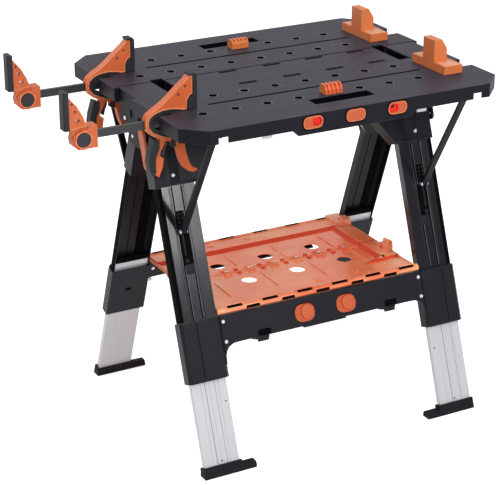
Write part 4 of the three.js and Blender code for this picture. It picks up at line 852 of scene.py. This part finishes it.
# ---- stage, light and camera ----
stage = dict(reach=14.0, floorTone=0.86, glow=0.7, fill=0.42, room=0.3, key=20.0, front=56.0, side=40.0, rear=52.0)


def whiteGlow(tree):
    path = node(tree, "LightPath").outputs
    seen = sums(tree, "MAXIMUM", path["Is Camera Ray"], path["Is Glossy Ray"])
    return sums(tree, "MAXIMUM", seen, path["Is Transmission Ray"])


floorLook, tree, skin = blankMaterial("floorPaper")
skin.inputs["Base Color"].default_value = (stage["floorTone"],) * 3 + (1,)
skin.inputs["Roughness"].default_value = 0.9
skin.inputs["Specular IOR Level"].default_value = 0.0
skin.inputs["Emission Color"].default_value = (1, 1, 1, 1)
tree.links.new(sums(tree, "MULTIPLY", whiteGlow(tree), stage["glow"]), skin.inputs["Emission Strength"])
mesh = bpy.data.meshes.new("floor")
r = stage["reach"]
mesh.from_pydata([(-r, -r, 0), (r, -r, 0), (r, r, 0), (-r, r, 0)], [], [(0, 1, 2, 3)])
mesh.materials.append(floorLook)
floor = bpy.data.objects.new("floor", mesh)
scene.collection.objects.link(floor)

world = bpy.data.worlds.new("studio")
scene.world = world
world.use_nodes = True
tree = world.node_tree
paint = tree.nodes["Background"]
# white for the camera and for reflections of the backdrop, dimmer for reflections of the room in front
path = node(tree, "LightPath").outputs
heading = node(tree, "SeparateXYZ", {0: node(tree, "TexCoord").outputs["Generated"]}).outputs[1]
mirror = ramp(tree, heading, -0.55, 0.15, stage["room"], 1.0)
seen = sums(tree, "MAXIMUM", path["Is Camera Ray"], path["Is Transmission Ray"])
shown = sums(tree, "MAXIMUM", seen, sums(tree, "MULTIPLY", path["Is Glossy Ray"], mirror))
tree.links.new(sums(tree, "MAXIMUM", shown, sums(tree, "MULTIPLY", path["Is Diffuse Ray"], stage["fill"])), paint.inputs["Strength"])
paint.inputs["Color"].default_value = (1, 1, 1, 1)


def softbox(name, place, aim, wide, high, power):
    lamp = bpy.data.lights.new(name, "AREA")
    lamp.shape, lamp.size, lamp.size_y, lamp.energy = "RECTANGLE", wide, high, power
    made = bpy.data.objects.new(name, lamp)
    made.location = place
    made.rotation_mode = "QUATERNION"
    made.rotation_quaternion = (Vector(aim) - Vector(place)).to_track_quat("-Z", "Y")
    scene.collection.objects.link(made)


softbox("overhead", (-0.3, -0.6, 3.4), (0.1, 0, 0.6), 2.6, 2.2, stage["key"])
softbox("frontBox", (-0.9, -3.4, 2.6), (0.1, 0, 0.4), 2.4, 1.8, stage["front"])
softbox("rearBox", (-1.4, 3.2, 2.4), (0.1, 0, 0.34), 2.6, 1.4, stage["rear"])
softbox("sideStrip", (1.0, -2.9, 2.2), (0.0, -0.1, 0.45), 0.36, 1.9, stage["side"])

view = dict(eye=(-1.7397, -3.2216, 1.9076), azimuth=-28.647, elevation=22.318, focal=1719.46)
camera = bpy.data.cameras.new("camera")
camera.sensor_width = 36
camera.lens = view["focal"] * 36 / 500
camera.clip_end = 100
cameraObject = bpy.data.objects.new("camera", camera)
a, e = math.radians(view["azimuth"]), math.radians(view["elevation"])
back = Vector((math.sin(a) * math.cos(e), -math.cos(a) * math.cos(e), math.sin(e)))
cameraObject.location = view["eye"]
cameraObject.rotation_mode = "QUATERNION"
cameraObject.rotation_quaternion = (-back).to_track_quat("-Z", "Y")
scene.collection.objects.link(cameraObject)
scene.camera = cameraObject
scene.view_settings.view_transform = "Standard"
print("stage, lamps and camera set")
